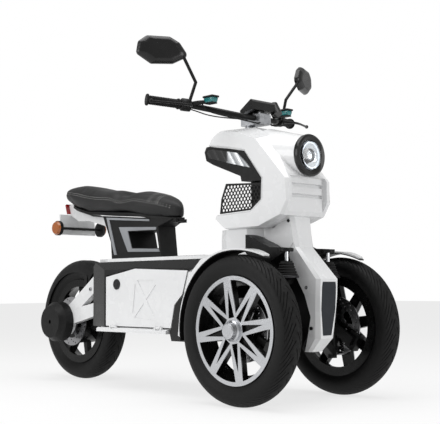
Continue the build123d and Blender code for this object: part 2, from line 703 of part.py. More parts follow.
def deck():
    """White deck plate over the battery box, with its rear corners cut."""
    w = BODY_HALF_WIDTH - 23
    plate = prism_xy([(CASE_REAR_X + 10, -w + 34), (-226, -w), (500, -w), (500, w), (-226, w),
                      (CASE_REAR_X + 10, w - 34)], DECK_Z, DECK_Z + DECK_THICKNESS)
    well = Pos(FRONT_AXLE_X, 0, AXLE_Z) * ring_y(WELL_RADIUS, 0, -w - 5, w + 5)
    return plate - well


NODES["deck"] = deck()


def sill():
    """White ledge below the right door, with the ears and pins of the door's hinges."""
    w = BODY_HALF_WIDTH
    ledge = prism_yz([(-w + 41, 229), (-w - 11, 229), (-w - 11, 240), (-w - 3, 246), (-w + 13, 246),
                      (-w + 13, BODY_BOTTOM_Z), (-w + 41, BODY_BOTTOM_Z)], -256, 180)
    y, z = HINGE_AXIS
    for x in HINGE_X:
        ledge = ledge + rod((x - 20, y, z), (x + 20, y, z), HINGE_PIN_RADIUS)
        for low in (x - 22, x + 14):
            ear = block(low, low + 8, y - HINGE_EAR_HALF, y + HINGE_EAR_HALF, 236, z + HINGE_EAR_HALF)
            ledge = ledge + ear
    return ledge


NODES["sills"] = both(sill())


FENDER_Y = (-WHEEL_Y - 37.0, -BODY_HALF_WIDTH + 13.0)   # right mudguard, outer and inner edges
FENDER_ARC = (66.0, 186.0)
FLARE_INNER = [(8.2, 185.3), (29.7, 171.1), (107.6, 159.8), (117.4, 148.6), (60.7, 132.9),
               (8.2, 116.3), (-50.0, 97.7), (-199.3, 200.4)]     # beyond the radius, degrees
FLARE_OUTER = [(8.2, 185.3), (2.0, 170.2), (3.4, 151.6), (15.9, 135.3), (18.6, 123.1),
               (4.6, 113.3), (-50.0, 97.7), (-199.3, 200.4)]


def fender_plan(trim, tip, inner_y):
    """Outline of the right mudguard from above, drawn in by a trim towards its pointed tip."""
    x, y, outer = FRONT_AXLE_X, WHEEL_Y, FENDER_Y[0]
    return prism_xy([(x - 300, outer + 6 - trim), (x - 70, outer), (x + 20, outer + 12 + trim / 3),
                     (x + 114, -y - trim / 3), (x + tip, -y + 14), (x + 114, -y + 28 + trim / 3),
                     (x + 10, -y + 46 + trim / 3), (x - 70, -y + 56 + trim), (x - 130, inner_y),
                     (x - 300, inner_y)], 100, 600)


def front_fender():
    """Mudguard over the right front wheel, flaring out of the battery box's side."""
    outer = FENDER_RADIUS + FENDER_THICKNESS
    band = arc_band(FENDER_RADIUS, outer, *FENDER_ARC, FRONT_AXLE_X, *FENDER_Y)
    ribs = []
    for y, points in ((-BODY_HALF_WIDTH - 1, FLARE_INNER), (FENDER_Y[0] + 2, FLARE_OUTER)):
        spots = [polar(FENDER_RADIUS + beyond, degrees, FRONT_AXLE_X, AXLE_Z) for beyond, degrees in points]
        ribs.append([(x, y, z) for x, z in spots])
    hollow = Pos(FRONT_AXLE_X, 0, AXLE_Z) * ring_y(FENDER_RADIUS, 0, -400, 0)
    front_cut = block(FRONT_AXLE_X - 112, FRONT_AXLE_X + 70, -400, 0, 200, 600)
    return (band & fender_plan(0, 122, FENDER_Y[1])) + ((rib_loft(ribs) - front_cut) - hollow)


LINER_THICKNESS = 3.0


def fender_liner():
    """Black inner skin of the right mudguard."""
    outer = FENDER_RADIUS - SEAT
    low, high = FENDER_ARC
    inner_y = -BODY_HALF_WIDTH + 35
    band = arc_band(outer - LINER_THICKNESS, outer, low - 2, high + 3, FRONT_AXLE_X, FENDER_Y[0] + 3, inner_y)
    return band & fender_plan(6, 132, inner_y)


FENDER = front_fender()
NODES["front_fenders"] = both(FENDER)
NODES["fender_liners"] = both(fender_liner())

# ---------------------------------------------------------------- seat and pedestal
PEDESTAL_TAPER = ((-340.0, 90.0), (-52.0, 45.0))   # (x, half width) at the rear and the front
WINDOW = [(-228, 641), (-74, 640), (-60, 567), (-205, 572)]
SEAT_HINGE = (22.0, 680.0)    # x and z of the seat's hinge line
SEAT_PIN_RADIUS = 4.0
TRIM_THICKNESS = 3.0


PEDESTAL_TOP = [(-376.0, 714.7), (12.0, 684.0)]      # x and z of its top face's ends


def pedestal_plan(grow):
    (rx, rw), (fx, fw) = PEDESTAL_TAPER
    slope = (rw - fw) / (fx - rx)
    far_rear, far_front = -460.0, 60.0
    rear_w = rw + slope * (rx - far_rear) + grow
    front_w = fw - slope * (far_front - fx) + grow
    return prism_xy([(far_rear, -rear_w), (far_front, -front_w), (far_front, front_w),
                     (far_rear, rear_w)], 500, 760)


def pedestal():
    """Seat post, wide at the back, with an open window and a shallow tray under the seat."""
    foot = DECK_Z + DECK_THICKNESS
    side = prism_xz([(-322, foot), (-328, 600)] + PEDESTAL_TOP + [(-64, 657), (-44, foot)], -130, 130)
    body = side & pedestal_plan(0)
    window = prism_xz(WINDOW, -140, 140)
    tray = block(-320, -80, -34, 34, 684, 740)
    x, z = SEAT_HINGE
    pin = rod((x, -30, z), (x, 30, z), SEAT_PIN_RADIUS)
    for y in (-30, 18):
        pin = pin + block(-12, x + 5, y, y + 12, z - 10, z + 4)
    return body - window - tray + pin


def pedestal_trim():
    """Silver frame round the window and the strip beyond it, on the right face."""
    inner = [(-280, 662), (-72, 654), (-74, 643), (-230, 644), (-206.5, 569), (-60, 564),
             (-54, 552), (-228, 556)]
    strip = [(-352, 706), (-110, 688), (-110, 680), (-336, 696), (-292, 545), (-306, 545)]
    skin = pedestal_plan(TRIM_THICKNESS) - pedestal_plan(0)
    right = block(-470, 70, -140, -1, 500, 760)
    shapes = [prism_xz(points, -140, 0) & skin & right for points in (inner, strip)]
    return Compound(children=[s for shape in shapes for s in shape.solids()])


PEDESTAL = pedestal()
NODES["seat_pedestal"] = PEDESTAL
NODES["pedestal_trims"] = both(pedestal_trim())


SEAT_STATIONS = [
    # x, underside z, top z, half width
    (-739, 838, 852, 14), (-726, 820, 862, 46), (-700, 803, 869, 70), (-647, 780, 871, 90),
    (-600, 763, 867, 100), (-500, 739, 850, 112), (-400, 732, 830, 115), (-300, 724, 811, 114),
    (-200, 717, 803, 110), (-100, 701, 796, 98), (-50, 695, 786, 78), (-15, 691, 776, 58),
    (12, 688, 763, 38), (32, 689, 748, 20), (42, 700, 730, 8)]
CUSHION_BASE = 2.0            # flat cut over the cushion's lowest line


def seat_section(x, low, high, half):
    """Rounded cross-section of the cushion at one station."""
    rise = high - low
    curve = [(0, 1.0), (0.45, 0.975), (0.80, 0.86), (0.98, 0.60), (0.97, 0.30), (0.86, 0.06), (0.5, 0)]
    right = [(u * half, low + v * rise) for u, v in curve]
    left = [(-y, z) for y, z in reversed(right[1:])]
    level = Plane(origin=(x, 0, 0), x_dir=(0, 1, 0), z_dir=(1, 0, 0))
    return level * make_face(Spline(*(right + left), periodic=True))


def seat_underside(drop, depth):
    """Space below the cushion's flat base, down by a depth."""
    line = [(x, low + CUSHION_BASE - drop) for x, low, high, half in SEAT_STATIONS]
    return line + [(x, z - depth) for x, z in reversed(line)]


def seat():
    """Cushion: raised tail, dip and thick rounded nose."""
    body = loft([seat_section(*station) for station in SEAT_STATIONS])
    return body - prism_xz(seat_underside(0, 60), -130, 130)


def seat_pan():
    """Rigid base under the cushion, resting on the pedestal, with its hinge lug."""
    slab = prism_xz(seat_underside(0, 12), -90, 90)
    plan = prism_xy([(-640, -62), (-560, -82), (-200, -82), (-60, -48), (10, -16), (30, -16), (30, 16),
                     (10, 16), (-60, 48), (-200, 82), (-560, 82), (-640, 62)], 660, 820)
    below = prism_xz(PEDESTAL_TOP + [(x, z - 60) for x, z in reversed(PEDESTAL_TOP)], -130, 130)
    x, z = SEAT_HINGE
    lug = rod((x, -16, z), (x, 16, z), 8) + block(x - 8, x + 8, -16, 16, z, 689)
    bore = rod((x, -17, z), (x, 17, z), SEAT_PIN_RADIUS + FIT)
    return ((slab & plan) - below) + lug - bore - PEDESTAL


NODES["seat"] = seat()
NODES["seat_pan"] = seat_pan()

# ---------------------------------------------------------------- rear end
SWING_Y = (95.0, 125.0)


def arm_outline(stations):
    """Points of the swing arm from (share of the way from the axle to the box, z) values."""
    reach = CASE_REAR_X - SEAT - REAR_AXLE_X
    return [(REAR_AXLE_X + share * reach, z) for share, z in stations]


def swing_arm():
    """Right V-shaped arm from the battery box to the rear axle."""
    upper = prism_xz(arm_outline([(0.081, 314), (0.693, 437), (1, 500), (1, 436), (0.764, 380), (0.48, 325),
                                  (0.237, 290)]), -SWING_Y[1], -SWING_Y[0])
    lower = prism_xz(arm_outline([(0.1, 238), (0.784, 284), (1, 298), (1, 350), (0.764, 340), (0.48, 325),
                                  (0.1, 300)]), -SWING_Y[1], -SWING_Y[0])
    boss = Pos(REAR_AXLE_X, 0, AXLE_Z) * ring_y(62, 0, -SWING_Y[1], -SWING_Y[0])
    return upper + lower + boss


def rear_axle():
    return rod((REAR_AXLE_X, -SWING_Y[1] + 2, AXLE_Z), (REAR_AXLE_X, SWING_Y[1] - 2, AXLE_Z),
               REAR_AXLE_RADIUS)


NODES["swing_arm"] = swing_arm() + mirrored(swing_arm()) + rear_axle()


def axle_cover():
    """Round black cover outside the right swing arm."""
    y0 = SWING_Y[1]
    return Pos(REAR_AXLE_X, 0, AXLE_Z) * lathe_y([
        (0, -y0 - SEAT), (86, -y0 - SEAT), (86, -165), (78, -176), (69, -192), (0, -192)])


NODES["axle_covers"] = both(axle_cover())


HUGGER_RADIUS = 272.0
HUGGER_THICKNESS = 4.0
HUGGER_ARC = (58.0, 190.0)    # degrees from straight ahead
STAY_X = (REAR_AXLE_X + 78.0, REAR_AXLE_X + 98.0)


def rear_hugger():
    """Mudguard close over the rear tyre, with a stay to each swing arm."""
    out, wall = HUGGER_RADIUS, HUGGER_THICKNESS
    skirt = 62.0
    edges = [
        ThreePointArc((218, -skirt), (out - 16, -skirt + 12), (out, 0)),
        ThreePointArc((out, 0), (out - 16, skirt - 12), (218, skirt)),
        Line((218, skirt), (218, skirt - wall)),
        ThreePointArc((218, skirt - wall), (out - 16 - wall, skirt - 14 - wall / 2), (out - wall, 0)),
        ThreePointArc((out - wall, 0), (out - 16 - wall, -skirt + 14 + wall / 2), (218, -skirt + wall)),
        Line((218, -skirt + wall), (218, -skirt)),
    ]
    low, high = HUGGER_ARC
    guard = Rot(0, -low, 0) * revolve(make_face(edges), -Axis.Y, high - low)
    guard = at_rear_wheel(guard)
    for side in (-1, 1):
        inner, outer_y = side * 58, side * SWING_Y[0]
        skin_y = side * (skirt + 2)
        guard = guard + block(*STAY_X, min(inner, skin_y), max(inner, skin_y), 340, 462)
        guard = guard + block(*STAY_X, min(inner, outer_y), max(inner, outer_y), 340, 352)
    return guard


NODES["rear_hugger"] = rear_hugger()


def tail_unit():
    """White bracket below the seat's tail with the plate carrier."""
    bracket = prism_xz([(-690, 790), (-716, 784), (-700, 738), (-640, 708), (-560, 706), (-400, 668),
                        (-352, 676), (-370, 706), (-530, 724), (-600, 744), (-650, 766)], -34, 34)
    plate = prism_xz([(-698, 740), (-706, 740), (-696, 648), (-688, 648)], -95, 95)
    return bracket + plate - PEDESTAL


TAIL_UNIT = tail_unit()
NODES["tail_unit"] = TAIL_UNIT


def tail_lamp():
    return prism_xz([(-716, 790), (-724, 786), (-710, 744), (-701, 744)], -50, 50) - TAIL_UNIT


NODES["tail_lamp"] = tail_lamp()


def signal_bar():
    x, z = -680.0, 676.0
    bar_ = rod((x, -112, z), (x, 112, z), 6)
    pods = [rod((x, s * 110, z), (x, s * 124, z), 33) for s in (-1, 1)]
    feet = [block(x - 12, x, s * 30 - 8, s * 30 + 8, z - 6, z + 6) for s in (-1, 1)]
    return bar_ + pods + feet - TAIL_UNIT


def signal_lenses():
    x, z = -680.0, 676.0
    return Compound(children=[rod((x, s * 124.3, z), (x, s * 134, z), 31, 26) for s in (-1, 1)])


NODES["signal_bar"] = signal_bar()
NODES["signal_lenses"] = signal_lenses()

# ---------------------------------------------------------------- handlebar
BAR_RADIUS = 11.0
CLAMP_BOTTOM_Z = 1014.0
CLAMP_TOP_Z = 1052.0
BAR_POINTS = [(478, 0, 1038), (470, -90, 1039), (352, -228, 1076), (276, -392, 1090)]


def bar_sweep(radius):
    """The bent bar, as a tube of the given radius."""
    left = [(x, -y, z) for x, y, z in reversed(BAR_POINTS[1:])]
    path = FilletPolyline(*(left + BAR_POINTS), radius=30)
    return sweep(Plane(origin=path @ 0, z_dir=path % 0) * Circle(radius), path)


TUBE = bar_sweep(BAR_RADIUS)
TUBE_SPACE = bar_sweep(BAR_RADIUS + SEAT)
STEM = rod(steer_point(-185), steer_point(26), STEM_RADIUS)
NODES["handlebar"] = TUBE
NODES["bar_clamp"] = (STEM + block(404, 504, -30, 30, CLAMP_BOTTOM_Z, CLAMP_TOP_Z)) - TUBE
GRIP_DIR = Vector(*BAR_POINTS[3]) - Vector(*BAR_POINTS[2])


def grip_point(t):
    return tuple(Vector(*BAR_POINTS[2]) + GRIP_DIR * t)


def on_bar(t0, t1, radius):
    """Sleeve round the right end of the bar between two fractions of its last run."""
    sleeve = rod(grip_point(t0), grip_point(t1), radius)
    core = rod(grip_point(t0 - 0.1), grip_point(t1 + 0.1), BAR_RADIUS + SEAT)
    return sleeve - core


def on_bar_solid(t0, t1, radius):
    return rod(grip_point(t0), grip_point(t1), radius)


def grip():
    return on_bar(0.30, 0.99, 17) + on_bar(0.95, 1.0, 22)


NODES["grips"] = both(grip())


def switchgear():
    return on_bar(0.06, 0.27, 24)


NODES["switchgear"] = both(switchgear())


def brake_lever():
    x, y, z = grip_point(0.16)
    p = [(x + 12, y + 6, z - 4), (x + 62, y - 36, z - 14), (x - 2, y - 172, z - 6)]
    lever = bar(p[0], p[1], 14, 10) + bar(p[1], p[2], 12, 9) + Pos(*p[1]) * Sphere(8)
    return lever - on_bar_solid(0.0, 0.3, 24)


NODES["brake_levers"] = both(brake_lever())


def reservoir():
    """Brake fluid cup on its arm from the switch pod."""
    cup = Pos(421, -203, 1078) * extrude(Rectangle(54, 38), 30)
    x, y, z = grip_point(0.10)
    foot = bar((402, -214, 1092), (x, y, z), 18, 14)
    return cup + foot - on_bar_solid(0.0, 0.3, 24) - TUBE_SPACE


NODES["fluid_reservoirs"] = both(reservoir())
MIRROR_KNEE = (386, -246, 1157)
MIRROR_JOINT = (395, -314, 1240)
MIRROR_STALK_RADIUS = 6.0
MIRROR_BALL_RADIUS = 8.0


def mirror_stem():
    """Bent stalk from the switch pod to the mirror's ball joint."""
    x, y, z = grip_point(0.16)
    stalk = MIRROR_STALK_RADIUS
    stem = rod((x + 16, y, z), MIRROR_KNEE, stalk) + rod(MIRROR_KNEE, MIRROR_JOINT, stalk)
    stem = stem + Pos(*MIRROR_KNEE) * Sphere(stalk) + Pos(*MIRROR_JOINT) * Sphere(MIRROR_BALL_RADIUS)
    return stem - on_bar_solid(0.0, 0.3, 24)


NODES["mirror_stems"] = both(mirror_stem())


MIRROR_CENTRE = Vector(352, -376, 1258)
MIRROR_TURN = 24.0            # mirror faces, in from straight back
MIRROR_DEPTH = 26.0
MIRROR_OUTLINE = [(-101, 16), (-46, 50), (36, 45), (96, 14), (62, -34), (24, -54), (-62, -52), (-94, -28)]


def mirror_plane(depth):
    """Plane of the right mirror, its normal towards the rider, set in by a depth."""
    a = math.radians(MIRROR_TURN)
    back = Vector(-math.cos(a), math.sin(a), 0)
    return Plane(origin=MIRROR_CENTRE - back * depth, x_dir=(math.sin(a), math.cos(a), 0), z_dir=back)


def mirror_sheet(grow):
    sheet = make_face(FilletPolyline(*MIRROR_OUTLINE, radius=16, close=True))
    return offset(sheet, grow) if grow else sheet


def mirror_head():
    """Teardrop housing with the recess for its glass."""
    shells = [(0, 1.0), (8, 1.0), (17, 0.93), (24, 0.78), (MIRROR_DEPTH, 0.62)]
    body = loft([mirror_plane(d) * scale(mirror_sheet(0), by=k) for d, k in shells])
    recess = extrude(mirror_plane(4) * mirror_sheet(-7), 5)
    neck = rod(MIRROR_JOINT, tuple(MIRROR_CENTRE + Vector(26, 34, -8)), 8)
    stalk = rod(MIRROR_KNEE, MIRROR_JOINT, MIRROR_STALK_RADIUS + SEAT)
    return body + neck - Pos(*MIRROR_JOINT) * Sphere(MIRROR_BALL_RADIUS + SEAT) - stalk - recess


def mirror_glass():
    return extrude(mirror_plane(3.7) * mirror_sheet(-7.3), 2.5)


NODES["mirror_heads"] = both(mirror_head())
NODES["mirror_glass"] = both(mirror_glass())


def display():
    """Instrument box on a short foot over the bar clamp, its screen towards the rider."""
    box = prism_xz([(428, 1068), (486, 1106), (498, 1096), (494, 1068), (446, 1057), (432, 1058)],
                   -60, 60)
    foot = block(456, 486, -14, 14, CLAMP_TOP_Z, 1066)
    dial = rod((494, 76, 1060), (470, 76, 1100), 21)
    return box + foot + dial


NODES["display"] = display()

for name, shape in NODES.items():
    export_step(shape, f"parts/{name}.step")
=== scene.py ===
# %% [markdown]
# # A three-wheeled electric scooter
# Two steered front wheels carry a slim white beam and a C-shaped head, a flat battery box runs
# between the axles, and one driven wheel follows behind. The solid parts come from the packed
# model, so this file only adds what a solid model leaves out: finishes, tread, a sewn seat,
# lamp insides, fasteners and cables. Each step says what is made and how.

# %% Load the frame
import json
import math
import bmesh
import bpy
from mathutils import Matrix, Quaternion, Vector
from mathutils.kdtree import KDTree


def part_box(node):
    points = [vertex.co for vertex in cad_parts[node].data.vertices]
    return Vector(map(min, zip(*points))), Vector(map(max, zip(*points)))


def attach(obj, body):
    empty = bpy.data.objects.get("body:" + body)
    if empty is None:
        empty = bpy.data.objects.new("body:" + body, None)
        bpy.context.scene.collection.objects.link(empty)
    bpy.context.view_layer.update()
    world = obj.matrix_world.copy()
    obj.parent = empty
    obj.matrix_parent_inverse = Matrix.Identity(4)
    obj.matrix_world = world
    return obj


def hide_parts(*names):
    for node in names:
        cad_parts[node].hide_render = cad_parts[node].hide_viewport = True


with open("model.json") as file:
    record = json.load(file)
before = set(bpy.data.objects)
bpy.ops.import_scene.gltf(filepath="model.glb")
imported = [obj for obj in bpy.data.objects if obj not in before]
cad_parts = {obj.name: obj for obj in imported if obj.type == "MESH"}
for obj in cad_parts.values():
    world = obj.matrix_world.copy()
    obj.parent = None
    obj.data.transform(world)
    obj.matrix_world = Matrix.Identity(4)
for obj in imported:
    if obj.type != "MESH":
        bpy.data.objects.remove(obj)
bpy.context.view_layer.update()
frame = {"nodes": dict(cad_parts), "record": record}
NODES = frame["nodes"]
print("solid parts:", len(NODES))

# %% [markdown]
# ## Camera
# The scooter is seen from its front right, from a little below the seat's height, with a long
# lens that keeps the wheels round. The camera could hang on an empty that it tracks, but a
# plain turn towards a target is easier to read, with one small roll added at the end.

# %% Camera
CAMERA_PLACE = Vector((2.9576, -2.5967, 0.4041))
CAMERA_TARGET = Vector((0.0, 0.2472, 0.7588))
CAMERA_ROLL = math.radians(-0.316)
CAMERA_LENS = 78.56
CAMERA_SHIFT = (-0.0007, -0.01705)

camera_data = bpy.data.cameras.new("camera")
camera = bpy.data.objects.new("camera", camera_data)
bpy.context.scene.collection.objects.link(camera)
camera.location = CAMERA_PLACE
camera.rotation_mode = "QUATERNION"
camera.rotation_quaternion = ((CAMERA_TARGET - CAMERA_PLACE).to_track_quat("-Z", "Y")
                              @ Quaternion((0, 0, 1), CAMERA_ROLL))
camera_data.sensor_width = 36.0
camera_data.sensor_fit = "HORIZONTAL"
camera_data.lens = CAMERA_LENS
camera_data.shift_x, camera_data.shift_y = CAMERA_SHIFT
bpy.context.scene.camera = camera
bpy.context.scene.view_settings.view_transform = "Standard"

# %% [markdown]
# ## Sums on sockets
# A finish is a small graph of nodes. Adding each node by hand hides the formula, so one class
# holds a socket and turns +, - and * into Math nodes, and one method adds every other node.

# %% A socket that can be used in sums
class Tap:
    """An output socket of a material."""

    def __init__(self, finish, socket):
        self.finish = finish
        self.socket = socket

    def calc(self, operation, *others):
        values = dict(enumerate((self,) + others))
        return self.finish.node("Math", {"operation": operation}, values)

    def __add__(self, other):
        return self.calc("ADD", other)

    def __sub__(self, other):
        return self.calc("SUBTRACT", other)

    def __rsub__(self, other):
        return self.calc("MULTIPLY", -1.0).calc("ADD", other)

    def __mul__(self, other):
        return self.calc("MULTIPLY", other)

    __radd__ = __add__
    __rmul__ = __mul__


# %% One material and its nodes
class Finish:
    """A material. What varies is linked with feed(), what is constant is set on the shader."""

    def __init__(self, name, fixed):
        self.material = bpy.data.materials.new(name)
        self.material.use_nodes = True
        self.tree = self.material.node_tree
        self.shader = self.tree.nodes["Principled BSDF"]
        for socket, value in fixed.items():
            self.shader.inputs[socket].default_value = value

    def node(self, kind, settings=None, values=None, out=0):
        made = self.tree.nodes.new("ShaderNode" + kind)
        for key, value in (settings or {}).items():
            if key == "stops":
                self.set_stops(made.color_ramp, value)
            else:
                setattr(made, key, value)
        for key, value in (values or {}).items():
            if isinstance(value, Tap):
                self.tree.links.new(value.socket, made.inputs[key])
            else:
                made.inputs[key].default_value = value
        return Tap(self, made.outputs[out])

    def set_stops(self, ramp, stops):
        ramp.elements[0].position, ramp.elements[0].color = stops[0]
        ramp.elements[1].position, ramp.elements[1].color = stops[-1]
        for position, colour in stops[1:-1]:
            ramp.elements.new(position).color = colour

    def feed(self, socket, tap):
        self.tree.links.new(tap.socket, self.shader.inputs[socket])

    def place(self):
        return self.node("TexCoord", out="Object")

    def split(self, vector):
        return [self.node("SeparateXYZ", None, {0: vector}, axis) for axis in range(3)]

    def noise(self, scale, detail=2.0, stretch=(1, 1, 1)):
        at = self.node("Mapping", None, {"Vector": self.place(), "Scale": stretch})
        return self.node("TexNoise", None, {"Vector": at, "Scale": scale, "Detail": detail})

    def blend(self, share, first, second):
        """Mixes two colours by a share from 0 to 1."""
        return self.node("Mix", {"data_type": "RGBA"}, {0: share, 6: first, 7: second}, 2)

    def between(self, tap, low, high, new_low=0.0, new_high=1.0):
        return self.node("MapRange", None, {"Value": tap, "From Min": low, "From Max": high,
                                            "To Min": new_low, "To Max": new_high})

    def colour(self, tap, low, high, tone, drift):
        """Base colour from one tone to another, as a value rises from low to high."""
        self.feed("Base Color", self.blend(self.between(tap, low, high), tone, drift))

    def gloss(self, tap, low, high, smooth, rough):
        self.feed("Roughness", self.between(tap, low, high, smooth, rough))

    def bump(self, height, distance, strength=1.0):
        self.feed("Normal", self.node("Bump", None, {"Height": height, "Distance": distance,
                                                     "Strength": strength}))


def grey(level):
    return (level, level, level, 1.0)


# %% [markdown]
# ## Painted and moulded surfaces
# The white panels are gloss paint over plastic: nearly even, a shade warmer in places, with a
# clear coat and the faint ripple that such panels have. Black mouldings are rougher and carry a
# fine grain. Both come from noise on object coordinates, so no unwrapping is needed.

# %% Paint and plastics
def gloss_paint(name, tone, drift, coat):
    f = Finish(name, {"Coat Weight": coat, "Coat Roughness": 0.06, "IOR": 1.5, "Specular IOR Level": 0.3})
    f.colour(f.noise(5.0, 4.0), 0.35, 0.65, tone, drift)
    f.gloss(f.noise(22.0, 5.0), 0.3, 0.7, 0.2, 0.32)
    f.bump(f.noise(160.0, 1.0), 0.0004, 0.12)
    return f.material


def moulding(name, tone, drift, rough, grain, depth):
    f = Finish(name, {"IOR": 1.46, "Specular IOR Level": 0.25})
    f.colour(f.noise(11.0, 5.0), 0.3, 0.7, tone, drift)
    f.gloss(f.noise(45.0, 4.0), 0.3, 0.7, rough - 0.07, rough + 0.09)
    f.bump(f.noise(grain, 3.0), depth, 0.55)
    return f.material


WHITE_PAINT = gloss_paint("white_gloss_paint", (0.80, 0.805, 0.81, 1), (0.77, 0.775, 0.782, 1), 0.7)
SLATE = moulding("slate_inlay", (0.022, 0.025, 0.031, 1), (0.017, 0.020, 0.025, 1), 0.38, 900.0, 0.0003)
BLACK_GLOSS = gloss_paint("black_gloss_plastic", grey(0.003), grey(0.006), 0.25)
BLACK_PLASTIC = moulding("black_grained_plastic", grey(0.005), grey(0.010), 0.46, 900.0, 0.0005)
BLACK_PAINT = moulding("black_satin_metal", grey(0.003), grey(0.006), 0.34, 500.0, 0.0002)
RUBBER = moulding("moulded_rubber", grey(0.005), grey(0.010), 0.66, 600.0, 0.0005)
WHEEL_PAINT = moulding("black_wheel_enamel", grey(0.002), grey(0.005), 0.27, 300.0, 0.00015)
SILVER_PAINT = moulding("silver_grey_trim", (0.30, 0.31, 0.325, 1), (0.26, 0.27, 0.285, 1),
                        0.34, 1200.0, 0.0001)

# %% [markdown]
# ## Metals
# The wheel faces are turned on a lathe, which leaves rings round the hub. The distance from the
# axle is worked out from object coordinates: all three axles are at one height and stand the
# same distance fore and aft of the middle, so one formula with |x| serves every wheel.

# %% Distance from the nearest axle
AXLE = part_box("front_tyre_right")
AXLE_X = (AXLE[0].x + AXLE[1].x) / 2
AXLE_Z = (AXLE[0].z + AXLE[1].z) / 2
WHEEL_RADIUS = (AXLE[1].z - AXLE[0].z) / 2
print("axle at", round(AXLE_X, 4), round(AXLE_Z, 4), "radius", round(WHEEL_RADIUS, 4))


def axle_distance(f):
    x, y, z = f.split(f.place())
    ahead = x.calc("ABSOLUTE") - AXLE_X
    up = z - AXLE_Z
    return (ahead * ahead + up * up).calc("SQRT")


# %% Turned, brushed and cast metal
def turned_metal(name, tone, drift, rough, ring):
    f = Finish(name, {"Metallic": 1.0})
    rings = f.node("TexNoise", {"noise_dimensions": "1D"},
                   {"W": axle_distance(f) * ring, "Scale": 1.0, "Detail": 3.0})
    f.colour(rings, 0.3, 0.7, tone, drift)
    f.gloss(rings, 0.3, 0.7, rough - 0.06, rough + 0.08)
    f.bump(rings, 0.0003, 0.35)
    return f.material


def cast_metal(name, tone, drift, rough):
    f = Finish(name, {"Metallic": 1.0})
    f.colour(f.noise(30.0, 5.0), 0.3, 0.7, tone, drift)
    f.gloss(f.noise(80.0, 4.0), 0.3, 0.7, rough - 0.06, rough + 0.1)
    f.bump(f.noise(700.0, 2.0), 0.0002, 0.3)
    return f.material


WHEEL_FACE = turned_metal("turned_alloy", (0.64, 0.65, 0.67, 1), (0.52, 0.53, 0.55, 1), 0.3, 900.0)
DISC_STEEL = turned_metal("ground_disc_steel", (0.42, 0.42, 0.43, 1), (0.30, 0.30, 0.31, 1), 0.32, 1400.0)
SILVER_METAL = cast_metal("silver_cast_metal", (0.50, 0.51, 0.53, 1), (0.40, 0.41, 0.43, 1), 0.32)
BOLT_STEEL = cast_metal("plated_bolt_steel", (0.38, 0.38, 0.39, 1), (0.28, 0.28, 0.29, 1), 0.3)
DARK_STEEL = cast_metal("blackened_steel", (0.06, 0.06, 0.062, 1), (0.035, 0.035, 0.037, 1), 0.36)
CHROME = cast_metal("bright_chrome", (0.80, 0.81, 0.83, 1), (0.72, 0.73, 0.75, 1), 0.08)

# %% [markdown]
# ## Tyre rubber
# A tyre's side has fine raised rings and the tread is duller than the wall. The rings follow the
# distance from the axle, and the tread's dust is a mix that starts near the outer radius.

# %% Tyre rubber
def tyre_rubber():
    f = Finish("tyre_rubber", {"IOR": 1.48, "Specular IOR Level": 0.25})
    far = axle_distance(f)
    tread = f.between(far, WHEEL_RADIUS - 0.012, WHEEL_RADIUS - 0.002)
    worn = f.between(f.noise(60.0, 6.0), 0.35, 0.7) * tread
    f.feed("Base Color", f.blend(worn, grey(0.004), grey(0.012)))
    f.gloss(tread + f.noise(90.0, 3.0) * 0.4, 0.0, 1.4, 0.5, 0.78)
    wall = 1.0 - f.between(far, WHEEL_RADIUS - 0.03, WHEEL_RADIUS - 0.018)
    ribs = (far * 1500.0).calc("SINE") * f.between(far, 0.199, 0.202) * wall
    f.bump(ribs * 0.25 + f.noise(700.0, 4.0) * 0.5, 0.0008, 0.6)
    return f.material


TYRE_RUBBER = tyre_rubber()

# %% [markdown]
# ## Leather
# The seat is covered in black leather: small closed cells pressed in, and a soft shine where it
# is stretched. Voronoi cells give the pebbles, a slow noise changes the gloss.

# %% Leather and thread
def leather():
    f = Finish("seat_leather", {"IOR": 1.5, "Specular IOR Level": 0.4})
    cells = f.node("TexVoronoi", {"feature": "DISTANCE_TO_EDGE"}, {"Vector": f.place(), "Scale": 420.0})
    pebble = f.between(cells, 0.0, 0.22)
    f.feed("Base Color", f.blend(pebble, grey(0.003), (0.0085, 0.0085, 0.009, 1)))
    f.gloss(f.noise(9.0, 5.0) + pebble * 0.15, 0.35, 0.85, 0.34, 0.52)
    f.bump(pebble + f.noise(1500.0, 2.0) * 0.3, 0.0006, 0.45)
    return f.material


def thread(name, tone, drift):
    f = Finish(name, {})
    twist = f.node("TexWave", {"bands_direction": "DIAGONAL"}, {"Vector": f.place(), "Scale": 900.0})
    f.feed("Base Color", f.blend(twist, tone, drift))
    f.gloss(twist, 0.0, 1.0, 0.6, 0.8)
    f.bump(twist, 0.0003, 0.5)
    return f.material


LEATHER = leather()
THREAD = thread("white_thread", (0.72, 0.72, 0.70, 1), (0.55, 0.55, 0.53, 1))

# %% [markdown]
# ## Lenses and glass
# Lenses are clear or tinted plastic with moulded ribs behind a smooth face. A bump on a wave is
# enough for the ribs at this size. The mirror is a silvered sheet with hardly any grain.

# %% Lenses, mirror and screen
def lens(name, tone, drift, rough, transmission, rib, axis):
    f = Finish(name, {"Transmission Weight": transmission, "IOR": 1.49, "Coat Weight": 0.6,
                      "Coat Roughness": 0.03})
    lines = f.node("TexWave", {"bands_direction": axis}, {"Vector": f.place(), "Scale": rib})
    f.feed("Base Color", f.blend(lines, tone, drift))
    f.gloss(f.noise(30.0, 3.0), 0.3, 0.7, rough, rough + 0.06)
    f.bump(lines, 0.0008, 0.3)
    return f.material


